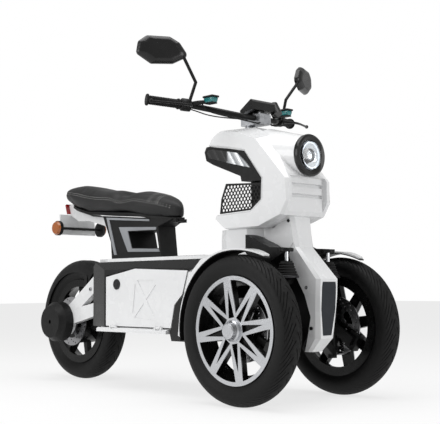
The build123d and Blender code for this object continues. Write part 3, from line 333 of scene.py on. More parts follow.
CLEAR_LENS = lens("clear_lens", (0.96, 0.98, 0.99, 1), (0.92, 0.95, 0.97, 1), 0.01, 1.0, 3.0, "Y")
AMBER_LENS = lens("amber_lamp_lens", (0.46, 0.13, 0.016, 1), (0.36, 0.09, 0.010, 1), 0.1, 0.15, 60.0, "X")
RED_LENS = lens("red_lamp_lens", (0.42, 0.008, 0.008, 1), (0.28, 0.004, 0.004, 1), 0.1, 0.1, 60.0, "Y")
TEAL_CUP = lens("teal_fluid_cup", (0.02, 0.30, 0.30, 1), (0.012, 0.22, 0.23, 1), 0.12, 0.35, 30.0, "Z")


def side_lamp_lens():
    f = Finish("side_lamp_lens", {"Metallic": 0.55, "Coat Weight": 1.0, "Coat Roughness": 0.03})
    x, y, z = f.split(f.place())
    facets = ((x * 180.0 + z * 120.0).calc("SINE") + 1.0) * 0.5
    low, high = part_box("side_lamps")
    middle = (low.x + high.x) / 2
    bright = f.blend(facets, (0.50, 0.52, 0.54, 1), (0.86, 0.88, 0.90, 1))
    f.feed("Base Color", f.blend(f.between(x, middle - 0.006, middle + 0.006), grey(0.02), bright))
    f.gloss(facets, 0.0, 1.0, 0.12, 0.26)
    f.bump(facets, 0.0015, 0.6)
    return f.material


def silvered_glass():
    f = Finish("silvered_glass", {"Metallic": 1.0})
    f.colour(f.noise(7.0, 3.0), 0.3, 0.7, (0.62, 0.65, 0.67, 1), (0.57, 0.60, 0.63, 1))
    f.gloss(f.noise(12.0, 3.0), 0.3, 0.7, 0.02, 0.06)
    return f.material


def lit_ring():
    f = Finish("lit_ring", {"Emission Strength": 0.9})
    glow = f.between(f.noise(90.0, 2.0), 0.3, 0.7)
    f.feed("Emission Color", f.blend(glow, (0.86, 0.90, 0.95, 1), (0.78, 0.84, 0.92, 1)))
    f.feed("Base Color", f.blend(glow, (0.8, 0.82, 0.85, 1), (0.7, 0.73, 0.78, 1)))
    f.gloss(glow, 0.0, 1.0, 0.2, 0.3)
    return f.material


SIDE_LAMP = side_lamp_lens()
MIRROR = silvered_glass()
LIT_RING = lit_ring()

# %% [markdown]
# ## Finishes on the solid parts
# The record names a material slot for each solid. Reading that list keeps this file and the
# model together: a node that changes its slot changes its look with no edit here.

# %% Put each finish on its nodes
FINISH_OF_SLOT = {
    "tyre": TYRE_RUBBER, "black_wheel": WHEEL_PAINT, "machined_alloy": WHEEL_FACE,
    "disc_steel": DISC_STEEL, "black_metal": BLACK_PAINT, "black_rubber": RUBBER,
    "white_paint": WHITE_PAINT, "black_gloss": BLACK_GLOSS, "black_plastic": BLACK_PLASTIC,
    "clear_glass": CLEAR_LENS, "silver_trim": SILVER_PAINT, "silver_metal": SILVER_METAL,
    "black_leather": LEATHER, "red_lens": RED_LENS, "amber_lens": AMBER_LENS, "mirror_glass": MIRROR,
}
OWN_FINISH = {"side_lamps": SIDE_LAMP, "nose_inlay": SLATE}
SLOT_OF = {finish.name: slot for slot, finish in FINISH_OF_SLOT.items()}
SLOT_OF |= {BOLT_STEEL.name: "silver_metal", CHROME.name: "silver_metal", DARK_STEEL.name: "black_metal",
            THREAD.name: "black_leather", TEAL_CUP.name: "clear_glass", LIT_RING.name: "clear_glass",
            "dark_screen": "black_gloss"}
for part in frame["record"]["subparts"]:
    finish = OWN_FINISH.get(part["node"], FINISH_OF_SLOT[part["material_slot"]])
    solid = NODES[part["node"]]
    if not solid.material_slots:
        solid.data.materials.append(finish)
    for held in solid.material_slots:
        held.material = finish

# %% [markdown]
# ## Modelling helpers
# Every new piece is made as it would be by hand: a primitive at its size and place, faces or
# edges picked by where they are, an operator, and modifiers that are applied. These helpers
# keep that to a line or two a step. Pieces end at the origin with their place in the mesh.

# %% Selecting and finishing
def take(piece):
    """Makes one object the only selected one, and the active one."""
    bpy.ops.object.select_all(action="DESELECT")
    piece.select_set(True)
    bpy.context.view_layer.objects.active = piece


def edit(piece, kind, test):
    """Opens a piece in edit mode with only the faces, edges or vertices that pass a test."""
    take(piece)
    bpy.ops.object.mode_set(mode="EDIT")
    bpy.ops.mesh.select_mode(type=kind)
    bpy.ops.mesh.select_all(action="DESELECT")
    mesh = bmesh.from_edit_mesh(piece.data)
    group = {"FACE": mesh.faces, "EDGE": mesh.edges, "VERT": mesh.verts}[kind]
    for element in group:
        if test(element):
            element.select_set(True)
    mesh.select_flush_mode()
    bmesh.update_edit_mesh(piece.data)


def leave():
    bpy.ops.object.mode_set(mode="OBJECT")


def tidy(piece):
    """Merges doubles and turns every face outwards."""
    edit(piece, "VERT", lambda v: True)
    bpy.ops.mesh.remove_doubles(threshold=0.00002)
    bpy.ops.mesh.normals_make_consistent(inside=False)
    leave()


def modify(piece, kind, **settings):
    take(piece)
    modifier = piece.modifiers.new(kind.lower(), kind)
    for key, value in settings.items():
        setattr(modifier, key, value)
    bpy.ops.object.modifier_apply(modifier=modifier.name)


def settle(piece, name, body, material, angle=35.0):
    """Gives a piece its name, finish, body and shading, with its place in its mesh."""
    take(piece)
    bpy.ops.object.transform_apply(location=True, rotation=True, scale=True)
    bpy.ops.object.shade_smooth_by_angle(angle=math.radians(angle))
    piece.name = name
    piece.data.name = name
    piece.data.materials.clear()
    piece.data.materials.append(material)
    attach(piece, body)
    return piece


def join(pieces):
    """One object from several, each with its own mesh before."""
    take(pieces[0])
    for other in pieces[1:]:
        other.select_set(True)
    bpy.ops.object.join()
    return pieces[0]


def move_mesh(piece, matrix):
    """Places a mesh by a matrix, and turns its faces back out after a mirror."""
    piece.data.transform(matrix)
    if matrix.determinant() < 0:
        piece.data.flip_normals()


def copy_of(piece, matrix):
    """A copy with its own mesh, placed by a matrix."""
    twin = piece.copy()
    twin.data = piece.data.copy()
    bpy.context.scene.collection.objects.link(twin)
    move_mesh(twin, matrix)
    return twin


MIRROR_Y = Matrix.Scale(-1, 4, (0, 1, 0))


# %% Turned shapes, blocks and tubes
def turn(outline, origin, axis, steps=48):
    """Spins an outline of (distance along the axis, radius) round an axis."""
    axis = Vector(axis).normalized()
    side = axis.orthogonal().normalized()
    points = [Vector(origin) + axis * along + side * radius for along, radius in outline]
    mesh = bpy.data.meshes.new("turned")
    mesh.from_pydata(points, [(i, i + 1) for i in range(len(points) - 1)], [])
    piece = bpy.data.objects.new("turned", mesh)
    bpy.context.scene.collection.objects.link(piece)
    edit(piece, "VERT", lambda v: True)
    bpy.ops.mesh.spin(steps=steps, angle=math.tau, center=origin, axis=axis)
    leave()
    tidy(piece)
    return piece


def slab(low, high, bevel=0.0, segments=2):
    """A block between two corners, its edges rounded."""
    low, high = Vector(low), Vector(high)
    bpy.ops.mesh.primitive_cube_add(size=1.0, location=(low + high) / 2)
    piece = bpy.context.object
    piece.scale = high - low
    take(piece)
    bpy.ops.object.transform_apply(location=True, rotation=True, scale=True)
    if bevel:
        modify(piece, "BEVEL", width=bevel, segments=segments)
    return piece


def smooth_line(name, places, bevel, roundness):
    """A curve object with one open NURBS spline, and that spline."""
    data = bpy.data.curves.new(name, "CURVE")
    data.dimensions = "3D"
    data.bevel_depth = bevel
    data.bevel_resolution = roundness
    data.use_fill_caps = True
    spline = data.splines.new("NURBS")
    spline.points.add(len(places) - 1)
    for point, place in zip(spline.points, places):
        point.co = (*place, 1.0)
    spline.order_u = 3
    spline.use_endpoint_u = True
    curve = bpy.data.objects.new(name, data)
    bpy.context.scene.collection.objects.link(curve)
    return curve, spline


def pipe(points, radii, name, resolution=8):
    """A smooth tube through control points, with a radius at each, as a mesh."""
    piece, spline = smooth_line(name, points, 1.0, 3)
    for point, radius in zip(spline.points, radii):
        point.radius = radius
    spline.resolution_u = resolution
    take(piece)
    bpy.ops.object.convert(target="MESH")
    return bpy.context.object


def inset(piece, test, *steps):
    """Insets the faces that pass a test, once for each thickness and depth."""
    edit(piece, "FACE", test)
    for thickness, depth in steps:
        bpy.ops.mesh.inset(thickness=thickness, depth=depth)
    leave()


# %% Left and right
SIDES = (("right", -1), ("left", 1))


def on_side(sign, points):
    """Right-hand places as they are for -1, and mirrored to the left for 1."""
    return [(x, -sign * y, z) for x, y, z in points]


def settle_pair(piece, name, body, material, angle=35.0):
    """Settles a right-hand piece and its mirror image, and gives back the first."""
    twin = copy_of(piece, MIRROR_Y)
    right = settle(piece, name + "_right", body, material, angle)
    settle(twin, name + "_left", body, material, angle)
    return right

# %% [markdown]
# ## Tyres
# A scooter tyre has a round tread cut by long grooves that sweep back towards the shoulder. The
# carcass is one spun outline. Groove faces are picked while its rings are still square to the
# axle and inset downwards; then each ring is turned a little more the further out it lies, so
# the straight grooves become curved ones. One tyre is made and copied to the other wheels.

# %% Tyre
WALL = [(29.5, 181.0), (30.0, 187.8), (36.8, 195.0), (42.5, 204.0), (46.3, 214.0), (47.0, 224.0),
        (45.2, 234.0), (42.0, 241.0), (38.0, 246.0), (32.3, 250.0), (25.0, 253.3), (17.0, 255.8),
        (8.6, 257.4), (2.5, 257.9)]
TREAD_STEPS = 240
GROOVE_EVERY = 8
GROOVE_DEPTH = 0.0034
SWEEP = math.radians(24.0)
FRONT_HALF, REAR_HALF = 0.047, 0.052     # half widths of the tyres
GROOVE_FROM = 0.238                     # radius where the grooves may start

WHEEL_R = Vector((AXLE_X, (AXLE[0].y + AXLE[1].y) / 2, AXLE_Z))
WHEEL_L = Vector((AXLE_X, -WHEEL_R.y, AXLE_Z))
WHEEL_B = Vector((-AXLE_X, 0.0, AXLE_Z))


def groove_face(face):
    """Long grooves on one side and short ones on the other, half a step apart."""
    middle = face.calc_center_median()
    across = middle.y * 1000.0
    radius = math.hypot(middle.x, middle.z)
    if radius < GROOVE_FROM:
        return False
    step = math.floor((math.atan2(middle.z, middle.x) % math.tau) / math.tau * TREAD_STEPS)
    turn_of = step % GROOVE_EVERY
    side_first, side_second = (0, 4) if across > 0 else (4, 0)
    if turn_of == side_first:
        return 4.0 < abs(across) < 42.0
    return turn_of == side_second and 18.0 < abs(across) < 44.0


def make_tyre():
    outline = [(y / 1000.0, r / 1000.0) for y, r in WALL]
    outline += [(-y, r) for y, r in reversed(outline)]
    outline.append(outline[0])
    carcass = turn(outline, (0, 0, 0), (0, 1, 0), TREAD_STEPS)
    edit(carcass, "FACE", groove_face)
    bpy.ops.mesh.inset(thickness=0.0009, depth=-GROOVE_DEPTH, use_even_offset=True)
    leave()
    for vertex in carcass.data.vertices:
        out = min(1.0, abs(vertex.co.y) / FRONT_HALF)
        vertex.co.rotate(Quaternion((0, 1, 0), SWEEP * out ** 1.4))
    return carcass


blank = make_tyre()
REAR_SCALE = REAR_HALF / FRONT_HALF
tyres = {
    "right": (copy_of(blank, Matrix.Translation(WHEEL_R)), "front_wheel_r", "front_tyre_right"),
    "left": (copy_of(blank, Matrix.Translation(WHEEL_L)), "front_wheel_l", "front_tyre_left"),
    "rear": (copy_of(blank, Matrix.Translation(WHEEL_B) @ Matrix.Scale(REAR_SCALE, 4, (0, 1, 0))),
             "rear_wheel", "rear_tyre"),
}
bpy.data.objects.remove(blank)
for side, (piece, body, node) in tyres.items():
    settle(piece, "tread_" + side, body, TYRE_RUBBER, 50.0)
    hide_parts(node)
print("tyre faces:", len(piece.data.polygons))

# %% [markdown]
# ## Seat
# The seat is foam under stretched leather. Its solid gives the outline, so a copy is rebuilt in
# even squares, taken in a little and blown up by a cloth simulation, which rounds the edges the
# way foam does. How far a point may travel is capped. The seams are pressed in afterwards,
# because rebuilding would lose them, and the stitches are laid along the seams one by one.

# %% Cushion
VOXEL = 0.0065
PULL_IN = 0.005
PUFF_CAP = 0.007
SEAT_LOW, SEAT_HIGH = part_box("seat")


def cushion_blank():
    """A closed, even copy of the solid seat, slightly smaller."""
    piece = NODES["seat"].copy()
    piece.data = NODES["seat"].data.copy()
    for key in list(piece.keys()):
        del piece[key]
    piece.parent = None
    bpy.context.scene.collection.objects.link(piece)
    tidy(piece)
    modify(piece, "REMESH", mode="VOXEL", voxel_size=VOXEL)
    modify(piece, "SMOOTH", factor=0.5, iterations=4)
    for vertex, normal in [(v, v.normal.copy()) for v in piece.data.vertices]:
        vertex.co -= normal * PULL_IN
    return piece


def puff(piece):
    """Blows the cushion up as cloth, then caps each point's travel."""
    start = [v.co.copy() for v in piece.data.vertices]
    take(piece)
    cloth = piece.modifiers.new("cloth", "CLOTH")
    cloth.settings.use_pressure = True
    cloth.settings.uniform_pressure_force = 4.0
    cloth.settings.quality = 4
    cloth.settings.effector_weights.gravity = 0.0
    cloth.collision_settings.use_collision = False
    cloth.point_cache.frame_start = 1
    cloth.point_cache.frame_end = 20
    for step in range(1, 21):
        bpy.context.scene.frame_set(step)
    bpy.ops.object.modifier_apply(modifier="cloth")
    bpy.context.scene.frame_set(1)
    for vertex, old in zip(piece.data.vertices, start):
        moved = vertex.co - old
        if moved.length > PUFF_CAP:
            vertex.co = old + moved * (PUFF_CAP / moved.length)


cushion = cushion_blank()
puff(cushion)
modify(cushion, "SMOOTH", factor=0.5, iterations=3)
modify(cushion, "SUBSURF", levels=1, render_levels=1)
print("cushion points:", len(cushion.data.vertices))

# %% [markdown]
# ## Seams and stitches
# One long seam runs round each side, below the edge of the seating face, and two more cross the
# front of the seat. A seam pulls the cover in, so points close to it move inwards. Each stitch
# is a small capsule laid on the surface: it is found by shooting a ray at the cushion.

# %% Seam lines
SIDE_SEAM_SHARE = 0.60        # height of the side seam between underside and top
SEAM_WIDTH = 0.007
SEAM_DEPTH = 0.0028
CROSS_SEAMS = (-0.088, -0.052)
STITCH_PITCH = 0.0085


def height_range(x):
    """Lowest and highest point of the cushion at one station on its middle line."""
    hit_top = cushion.ray_cast((x, 0.0, 2.0), (0, 0, -1))
    hit_low = cushion.ray_cast((x, 0.0, 0.2), (0, 0, 1))
    return hit_low[1].z, hit_top[1].z


def side_seam(side):
    """Points along one side of the cushion, from the tail to the nose."""
    points = []
    x = SEAT_LOW.x + 0.035
    while x < SEAT_HIGH.x - 0.03:
        low, high = height_range(x)
        z = low + (high - low) * SIDE_SEAM_SHARE
        hit, place, normal, _ = cushion.ray_cast((x, side * 0.3, z), (0, -side, 0))
        if hit:
            points.append((place.copy(), normal.copy()))
        x += 0.006
    return points


def cross_seam(x):
    """Points over the top of the cushion, from side seam to side seam."""
    low, high = height_range(x)
    points = []
    for i in range(41):
        lean = math.radians(-78 + 156 * i / 40)
        origin = Vector((x, 0.35 * math.sin(lean), low + (high - low) * 0.4 + 0.35 * math.cos(lean)))
        aim = Vector((x, 0.0, low + (high - low) * 0.4)) - origin
        hit, place, normal, _ = cushion.ray_cast(origin, aim.normalized())
        if hit:
            points.append((place.copy(), normal.copy()))
    return points


seams = [side_seam(-1), side_seam(1)] + [cross_seam(x) for x in CROSS_SEAMS]
print("seam points:", [len(seam) for seam in seams])


# %% Press the seams in
def press(piece, lines):
    total = sum(len(line) for line in lines)
    tree = KDTree(total)
    number = 0
    for line in lines:
        for place, normal in line:
            tree.insert(place, number)
            number += 1
    tree.balance()
    normals = [v.normal.copy() for v in piece.data.vertices]
    for vertex, normal in zip(piece.data.vertices, normals):
        distance = tree.find(vertex.co)[2]
        if distance < SEAM_WIDTH * 1.6:
            vertex.co -= normal * SEAM_DEPTH * math.exp(-(distance / (SEAM_WIDTH * 0.55)) ** 2)


press(cushion, seams)
settle(cushion, "seat_cushion", "seat_lid", LEATHER, 180.0)
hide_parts("seat")


# %% Stitches along the seams
def stitch_row(line, drift):
    """Capsule stitches along a seam, set off to one side of it."""
    stitches = []
    travelled = 0.0
    for (place, normal), (ahead, _) in zip(line, line[1:]):
        travelled += (ahead - place).length
        if travelled < STITCH_PITCH:
            continue
        travelled = 0.0
        along = (ahead - place).normalized()
        aside = along.cross(normal).normalized()
        centre = place + aside * drift - normal * 0.0004
        turn_to = Matrix((along, aside, normal)).transposed().to_4x4()
        stitches.append(Matrix.Translation(centre) @ turn_to)
    return stitches


bpy.ops.mesh.primitive_uv_sphere_add(segments=8, ring_count=5, radius=1.0)
stitch_blank = bpy.context.object
stitch_blank.data.transform(Matrix.Diagonal((0.0030, 0.0007, 0.0007, 1.0)))
stitch_places = []
for seam in seams:
    for drift in (-0.0042, 0.0042):
        stitch_places += stitch_row(seam, drift)
stitches = join([copy_of(stitch_blank, place) for place in stitch_places])
bpy.data.objects.remove(stitch_blank)
settle(stitches, "seat_stitches", "seat_lid", THREAD, 180.0)
print("stitches:", len(stitch_places))

# %% [markdown]
# ## Headlamp
# Behind the domed lens sit a bright bowl, a projector lens in its collar and a thin lit ring.
# The solid lens is a plug of glass, which would bend the view like a magnifier, so a thin dome
# with the same outer face stands in for it, and the bowl goes inside the black bezel.

# %% Headlamp
LAMP_LOW, LAMP_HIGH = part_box("headlamp_bezel")
LENS_LOW, LENS_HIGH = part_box("headlamp_lens")
LAMP_Z = (LAMP_LOW.z + LAMP_HIGH.z) / 2
LAMP_BACK = LAMP_LOW.x
LAMP_FACE = LAMP_HIGH.x
LENS_R = (LENS_HIGH.y - LENS_LOW.y) / 2
BEZEL_R = (LAMP_HIGH.y - LAMP_LOW.y) / 2
lamp_axis = ((0, 0, LAMP_Z), (1, 0, 0))


def lamp_part(outline, name, material, steps=64, angle=35.0):
    piece = turn(outline, *lamp_axis, steps)
    return settle(piece, name, "chassis", material, angle)


bezel_outline = [
    (LAMP_BACK, BEZEL_R - 0.012), (LAMP_BACK, BEZEL_R - 0.003), (LAMP_BACK + 0.004, BEZEL_R - 0.001),
    (LAMP_FACE - 0.008, BEZEL_R), (LAMP_FACE - 0.003, BEZEL_R - 0.002), (LAMP_FACE, BEZEL_R - 0.008),
    (LAMP_FACE - 0.001, BEZEL_R - 0.013), (LAMP_FACE - 0.006, LENS_R + 0.002),
    (LAMP_BACK + 0.006, LENS_R + 0.0005), (LAMP_BACK, LENS_R + 0.0005), (LAMP_BACK, BEZEL_R - 0.012)]
bezel = lamp_part(bezel_outline, "headlamp_ring", BLACK_GLOSS, 72)
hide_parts("headlamp_bezel")
lamp_part([(LAMP_FACE - 0.005, LENS_R), (LAMP_FACE - 0.008, LENS_R - 0.004),
           (LAMP_BACK + 0.006, LENS_R - 0.016), (LAMP_BACK + 0.002, LENS_R - 0.030),
           (LAMP_BACK + 0.001, 0.0), (LAMP_BACK, 0.0),
           (LAMP_BACK, LENS_R), (LAMP_FACE - 0.005, LENS_R)],
          "headlamp_bowl", CHROME, 64, 20.0)
lamp_part([(LAMP_BACK + 0.001, 0.026), (LAMP_FACE - 0.007, 0.024), (LAMP_FACE - 0.005, 0.022),
           (LAMP_FACE - 0.008, 0.019), (LAMP_BACK + 0.001, 0.018)],
          "projector_collar", DARK_STEEL, 48)
lamp_part([(LAMP_FACE - 0.010, 0.0195), (LAMP_FACE - 0.006, 0.0185), (LAMP_FACE - 0.001, 0.014),
           (LAMP_FACE + 0.002, 0.007), (LAMP_FACE + 0.0028, 0.0), (LAMP_FACE - 0.010, 0.0)],
          "projector_lens", CLEAR_LENS, 48, 180.0)
lamp_part([(LAMP_FACE - 0.0065, LENS_R - 0.0075), (LAMP_FACE - 0.0045, LENS_R - 0.0068),
           (LAMP_FACE - 0.0035, LENS_R - 0.0085), (LAMP_FACE - 0.0045, LENS_R - 0.0105),
           (LAMP_FACE - 0.0065, LENS_R - 0.0098)],
          "headlamp_glow_ring", LIT_RING, 64, 180.0)
DOME = LENS_HIGH.x - LENS_LOW.x


def dome_points(radius, rise, back, count=8):
    return [(back + rise * (1 - (i / count) ** 2), radius * i / count) for i in range(count + 1)]


outer_face = dome_points(LENS_R - 0.0004, DOME, LENS_LOW.x)
inner_face = dome_points(LENS_R - 0.0026, DOME - 0.002, LENS_LOW.x)
glass = lamp_part(outer_face + list(reversed(inner_face)), "headlamp_glass", CLEAR_LENS,
                  64, 180.0)
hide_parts("headlamp_lens")

# %% [markdown]
# ## Screws
# Socket screws hold the panels. One is modelled, a low drum with a round hole inset into its
# stepped head, and copies are turned to face outwards wherever the panels are fastened.

# %% One socket screw
def make_screw():
    """Head of a socket screw, 10 mm across, its outer face towards +Z."""
    bpy.ops.mesh.primitive_cylinder_add(vertices=18, radius=0.005, depth=0.004, location=(0, 0, 0.001))
    head = bpy.context.object
    inset(head, lambda f: f.normal.z > 0.9, (0.0011, 0.0007), (0.0013, 0.0), (0.0001, -0.0022))
    take(head)
    bpy.ops.object.transform_apply(location=True, rotation=True, scale=True)
    return head


screw_blank = make_screw()


def screws(name, body, places, facing, size=1.0, material=BOLT_STEEL):
    """Copies of the screw at several places, all facing one way, as one piece."""
    turn_to = Vector(facing).to_track_quat("Z", "Y").to_matrix().to_4x4()
    copies = [copy_of(screw_blank, Matrix.Translation(Vector(p)) @ turn_to @ Matrix.Scale(size, 4))
              for p in places]
    return settle(join(copies), name, body, material, 30.0)


# %% Screws on the panels
arm_screws = [(-0.352, -0.125, 0.478), (-0.352, -0.125, 0.318), (-0.420, -0.125, 0.400)]
nose_screws = [(0.759, -0.0485, 0.261), (0.742, -0.0505, 0.402), (0.663, -0.0525, 0.640)]
for side, sign in SIDES:
    screws("arm_screws_" + side, "chassis", on_side(sign, arm_screws), (0, sign, 0), 1.5)
    screws("nose_screws_" + side, "chassis", on_side(sign, nose_screws), (0, sign, 0), 1.2, DARK_STEEL)

# %% [markdown]
# ## Hub covers
# The covers outside the rear arms are round caps with a stepped face and a ring of screws. The
# solid has the outline; a turned insert and the screws give it its face.

# %% Rear hub covers
COVER_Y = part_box("axle_covers")[1].y
COVER_SCREWS = 5
COVER_RING = 0.034
for side, sign in SIDES:
    dish = turn([(COVER_Y - 0.003, 0.0), (COVER_Y - 0.003, 0.058), (COVER_Y - 0.0005, 0.056),
                 (COVER_Y - 0.0002, 0.046), (COVER_Y - 0.0012, 0.044), (COVER_Y - 0.0006, 0.020),
                 (COVER_Y, 0.008), (COVER_Y, 0.0)],
                (-AXLE_X, 0, AXLE_Z), (0, 1, 0), 48)
    if sign < 0:
        move_mesh(dish, MIRROR_Y)
    settle(dish, "hub_cover_face_" + side, "chassis", BLACK_GLOSS, 30.0)
    angles = [math.tau * i / COVER_SCREWS + 0.3 for i in range(COVER_SCREWS)]
    ring = [(-AXLE_X + COVER_RING * math.cos(a), sign * (COVER_Y - 0.0035), AXLE_Z + COVER_RING * math.sin(a))
            for a in angles]
    screws("hub_cover_screws_" + side, "chassis", ring, (0, sign, 0), 0.9, DARK_STEEL)

# %% [markdown]
# ## Key locks
# Each door has a round lock, a dark turned barrel with a raised rim and a slot for the key. The
# slot is a thin block pushed into the face, because a hole that narrow reads only by its shadow.

# %% Door locks
def key_lock(name, body, sign, centre, radius):
    x, y, z = centre
    barrel = turn([(0.0, 0.0), (0.0, radius), (0.0032, radius), (0.0044, radius * 0.93),
                   (0.0044, radius * 0.78), (0.0020, radius * 0.72), (0.0020, radius * 0.42),
                   (0.0036, radius * 0.38), (0.0036, 0.0)],
                  (x, sign * y, z), (0, sign, 0), 40)
    settle(barrel, name, body, DARK_STEEL, 25.0)
    slot = slab((x - 0.0045, sign * y + min(0.0, sign * 0.0041), z - 0.0009),
                (x + 0.0045, sign * y + max(0.0, sign * 0.0041), z + 0.0009), 0.0003, 1)
    settle(slot, name + "_slot", body, BLACK_GLOSS)


for side, sign in SIDES:
    key_lock("door_lock_" + side, "door_r" if sign < 0 else "door_l", sign, (-0.134, 0.205, 0.419), 0.021)

# %% [markdown]
# ## Shock boots
# A rubber bellows keeps dirt off each front shock's rod. Its folds are a zigzag outline turned
# round the rod, inside the plain cone of the solid, under a silver rod and above a steel plate.

# %% Bellows, rod and plate
BOOT_LOW, BOOT_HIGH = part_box("shock_absorbers")
SHOCK_X, SHOCK_Y = BOOT_LOW.x + 0.044, BOOT_HIGH.y - 0.044
BOOT_TOP, BOOT_FOOT, PLATE_FOOT = 0.491, 0.444, BOOT_LOW.z
print("shock at", round(SHOCK_X, 4), round(SHOCK_Y, 4), "from", round(PLATE_FOOT, 4))


def shock_dress(sign, side):
    y = sign * SHOCK_Y
    folds = [(BOOT_TOP + 0.004, 0.009), (BOOT_TOP + 0.004, 0.020)]
    for i in range(5):
        z = BOOT_TOP - i * (BOOT_TOP - BOOT_FOOT) / 5
        radius = 0.0265 + 0.0032 * i
        folds += [(z - 0.001, radius - 0.005), (z - 0.0055, radius)]
    folds += [(BOOT_FOOT, 0.038), (BOOT_FOOT, 0.009)]
    boot = turn([(z, r) for z, r in folds], (SHOCK_X, y, 0), (0, 0, 1), 40)
    settle(boot, "shock_boot_" + side, "chassis", RUBBER, 25.0)
    rod = turn([(0.530, 0.0), (0.530, 0.0075), (0.492, 0.0075), (0.492, 0.0)], (SHOCK_X, y, 0), (0, 0, 1), 24)
    settle(rod, "shock_rod_" + side, "chassis", CHROME)
    plate = turn([(PLATE_FOOT, 0.0), (PLATE_FOOT, 0.0425), (PLATE_FOOT + 0.0015, 0.044),
                  (BOOT_FOOT - 0.0015, 0.044), (BOOT_FOOT, 0.0425), (BOOT_FOOT, 0.0)],
                 (SHOCK_X, y, 0), (0, 0, 1), 48)
    return boot, settle(plate, "shock_plate_" + side, "chassis", DARK_STEEL)


boots = [shock_dress(-1, "right"), shock_dress(1, "left")]
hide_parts("shock_absorbers")

# %% [markdown]
# ## Grips, levers and switches
# The grips are rubber sleeves with rings moulded round them and a flange at the end. Each is one
# turned outline along the bar's end. The levers are blades that curve forward of the grip: a
# tube along a smooth line, flattened. The solids keep their place for collision. The solids stay
# in the scene, hidden.

# %% The bar's last run
BAR_BEND = Vector((0.352, -0.228, 1.076))
BAR_TIP = Vector((0.276, -0.392, 1.090))
GRIP_RUN = (BAR_TIP - BAR_BEND).length
GRIP_AXIS = (BAR_TIP - BAR_BEND).normalized()


def on_grip(share):
    return BAR_BEND + (BAR_TIP - BAR_BEND) * share


def grip_dress():
    """Ribbed rubber sleeve of the right grip."""
    start, stop = GRIP_RUN * 0.30, GRIP_RUN * 0.955
    outline = [(start, 0.0113), (start, 0.0195), (start + 0.003, 0.0205), (start + 0.008, 0.0198),
               (start + 0.009, 0.016)]
    along = start + 0.011
    while along < stop - 0.007:
        outline += [(along, 0.0158), (along + 0.0008, 0.0170), (along + 0.0036, 0.0170),
                    (along + 0.0044, 0.0158)]
        along += 0.0062
    end = GRIP_RUN
    outline += [(end - 0.009, 0.0165), (end - 0.0075, 0.0212), (end - 0.006, 0.0219), (end - 0.002, 0.0219),
                (end, 0.0205), (end, 0.0113), (start, 0.0113)]
    return turn(outline, tuple(BAR_BEND), tuple(GRIP_AXIS), 36)


grip = settle_pair(grip_dress(), "grip", "steering_bar", RUBBER, 30.0)
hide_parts("grips")

# %% Brake levers
def lever_dress():
    """Blade of the right lever, from its pivot out past the grip, ending in a ball."""
    root = on_grip(0.16)
    points = [root + Vector((0.012, 0.006, -0.004)), root + Vector((0.040, -0.006, -0.009)),
              root + Vector((0.058, -0.032, -0.013)), root + Vector((0.050, -0.070, -0.012)),
              root + Vector((0.028, -0.115, -0.009)), root + Vector((0.002, -0.168, -0.006))]
    blade = pipe(points, [0.0075, 0.0078, 0.0070, 0.0058, 0.0052, 0.0062], "lever", 8)
    middle = root.z - 0.009
    for vertex in blade.data.vertices:
        vertex.co.z = middle + (vertex.co.z - middle) * 0.72
    bpy.ops.mesh.primitive_uv_sphere_add(segments=18, ring_count=12, radius=0.0075, location=points[-1])
    tip = bpy.context.object
    take(tip)
    bpy.ops.object.transform_apply(location=True, rotation=True, scale=True)
    return join([blade, tip])


lever = settle_pair(lever_dress(), "brake_lever", "steering_bar", BLACK_PAINT, 50.0)
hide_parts("brake_levers")

# %% [markdown]
# ## Brake fluid cups
# Each brake has a small cup of teal plastic that shows the fluid, under a black lid with two
# screws, on an arm from the switch pod. The cup is a block drawn in at its foot and rounded.

# %% Fluid cups
CUP_X, CUP_Y, CUP_Z = 0.421, -0.203, 1.078


def cup_slab(half_x, half_y, low, high, bevel=0.0, segments=2):
    """Block centred on the right cup, between two heights above its foot."""
    return slab((CUP_X - half_x, CUP_Y - half_y, CUP_Z + low), (CUP_X + half_x, CUP_Y + half_y, CUP_Z + high),
                bevel, segments)


def cup_parts():
    body = cup_slab(0.025, 0.017, 0.003, 0.022)
    edit(body, "FACE", lambda f: f.normal.z < -0.9)
    bpy.ops.transform.resize(value=(0.84, 0.82, 1.0), center_override=(CUP_X, CUP_Y, CUP_Z))
    leave()
    modify(body, "BEVEL", width=0.005, segments=4)
    lid = cup_slab(0.027, 0.019, 0.0215, 0.0295, 0.0035, 3)
    inset(lid, lambda f: f.normal.z > 0.95 and f.calc_area() > 0.0005, (0.004, -0.0010))
    foot = cup_slab(0.021, 0.014, -0.001, 0.004, 0.002, 2)
    root = on_grip(0.10)
    arm = pipe([Vector((CUP_X - 0.010, CUP_Y + 0.002, CUP_Z + 0.008)),
                Vector((CUP_X - 0.030, CUP_Y - 0.020, CUP_Z + 0.008)),
                root + Vector((0.012, 0.004, 0.004)), root + Vector((0.004, 0.0, 0.0))],
               [0.007, 0.0075, 0.009, 0.011], "cup_arm", 6)
    return body, join([lid, foot, arm])


cup, cup_black = cup_parts()
settle_pair(cup, "fluid_cup", "steering_bar", TEAL_CUP, 40.0)
lid = settle_pair(cup_black, "fluid_cup_lid", "steering_bar", BLACK_PLASTIC, 40.0)
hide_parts("fluid_reservoirs")
lid_screws = [(CUP_X - 0.019, CUP_Y, CUP_Z + 0.0284), (CUP_X + 0.019, CUP_Y, CUP_Z + 0.0284)]
for side, sign in SIDES:
    screws("fluid_cup_screws_" + side, "steering_bar", on_side(sign, lid_screws), (0, 0, 1), 0.55)

# %% [markdown]
# ## Switch pods
# Inboard of each grip sits a pod that holds the switches and the lever's pivot. It is a turned
# body with a parting groove, and the buttons are small rounded blocks on the side the rider sees.

# %% Switch pods
POD_START, POD_STOP = GRIP_RUN * 0.06, GRIP_RUN * 0.27


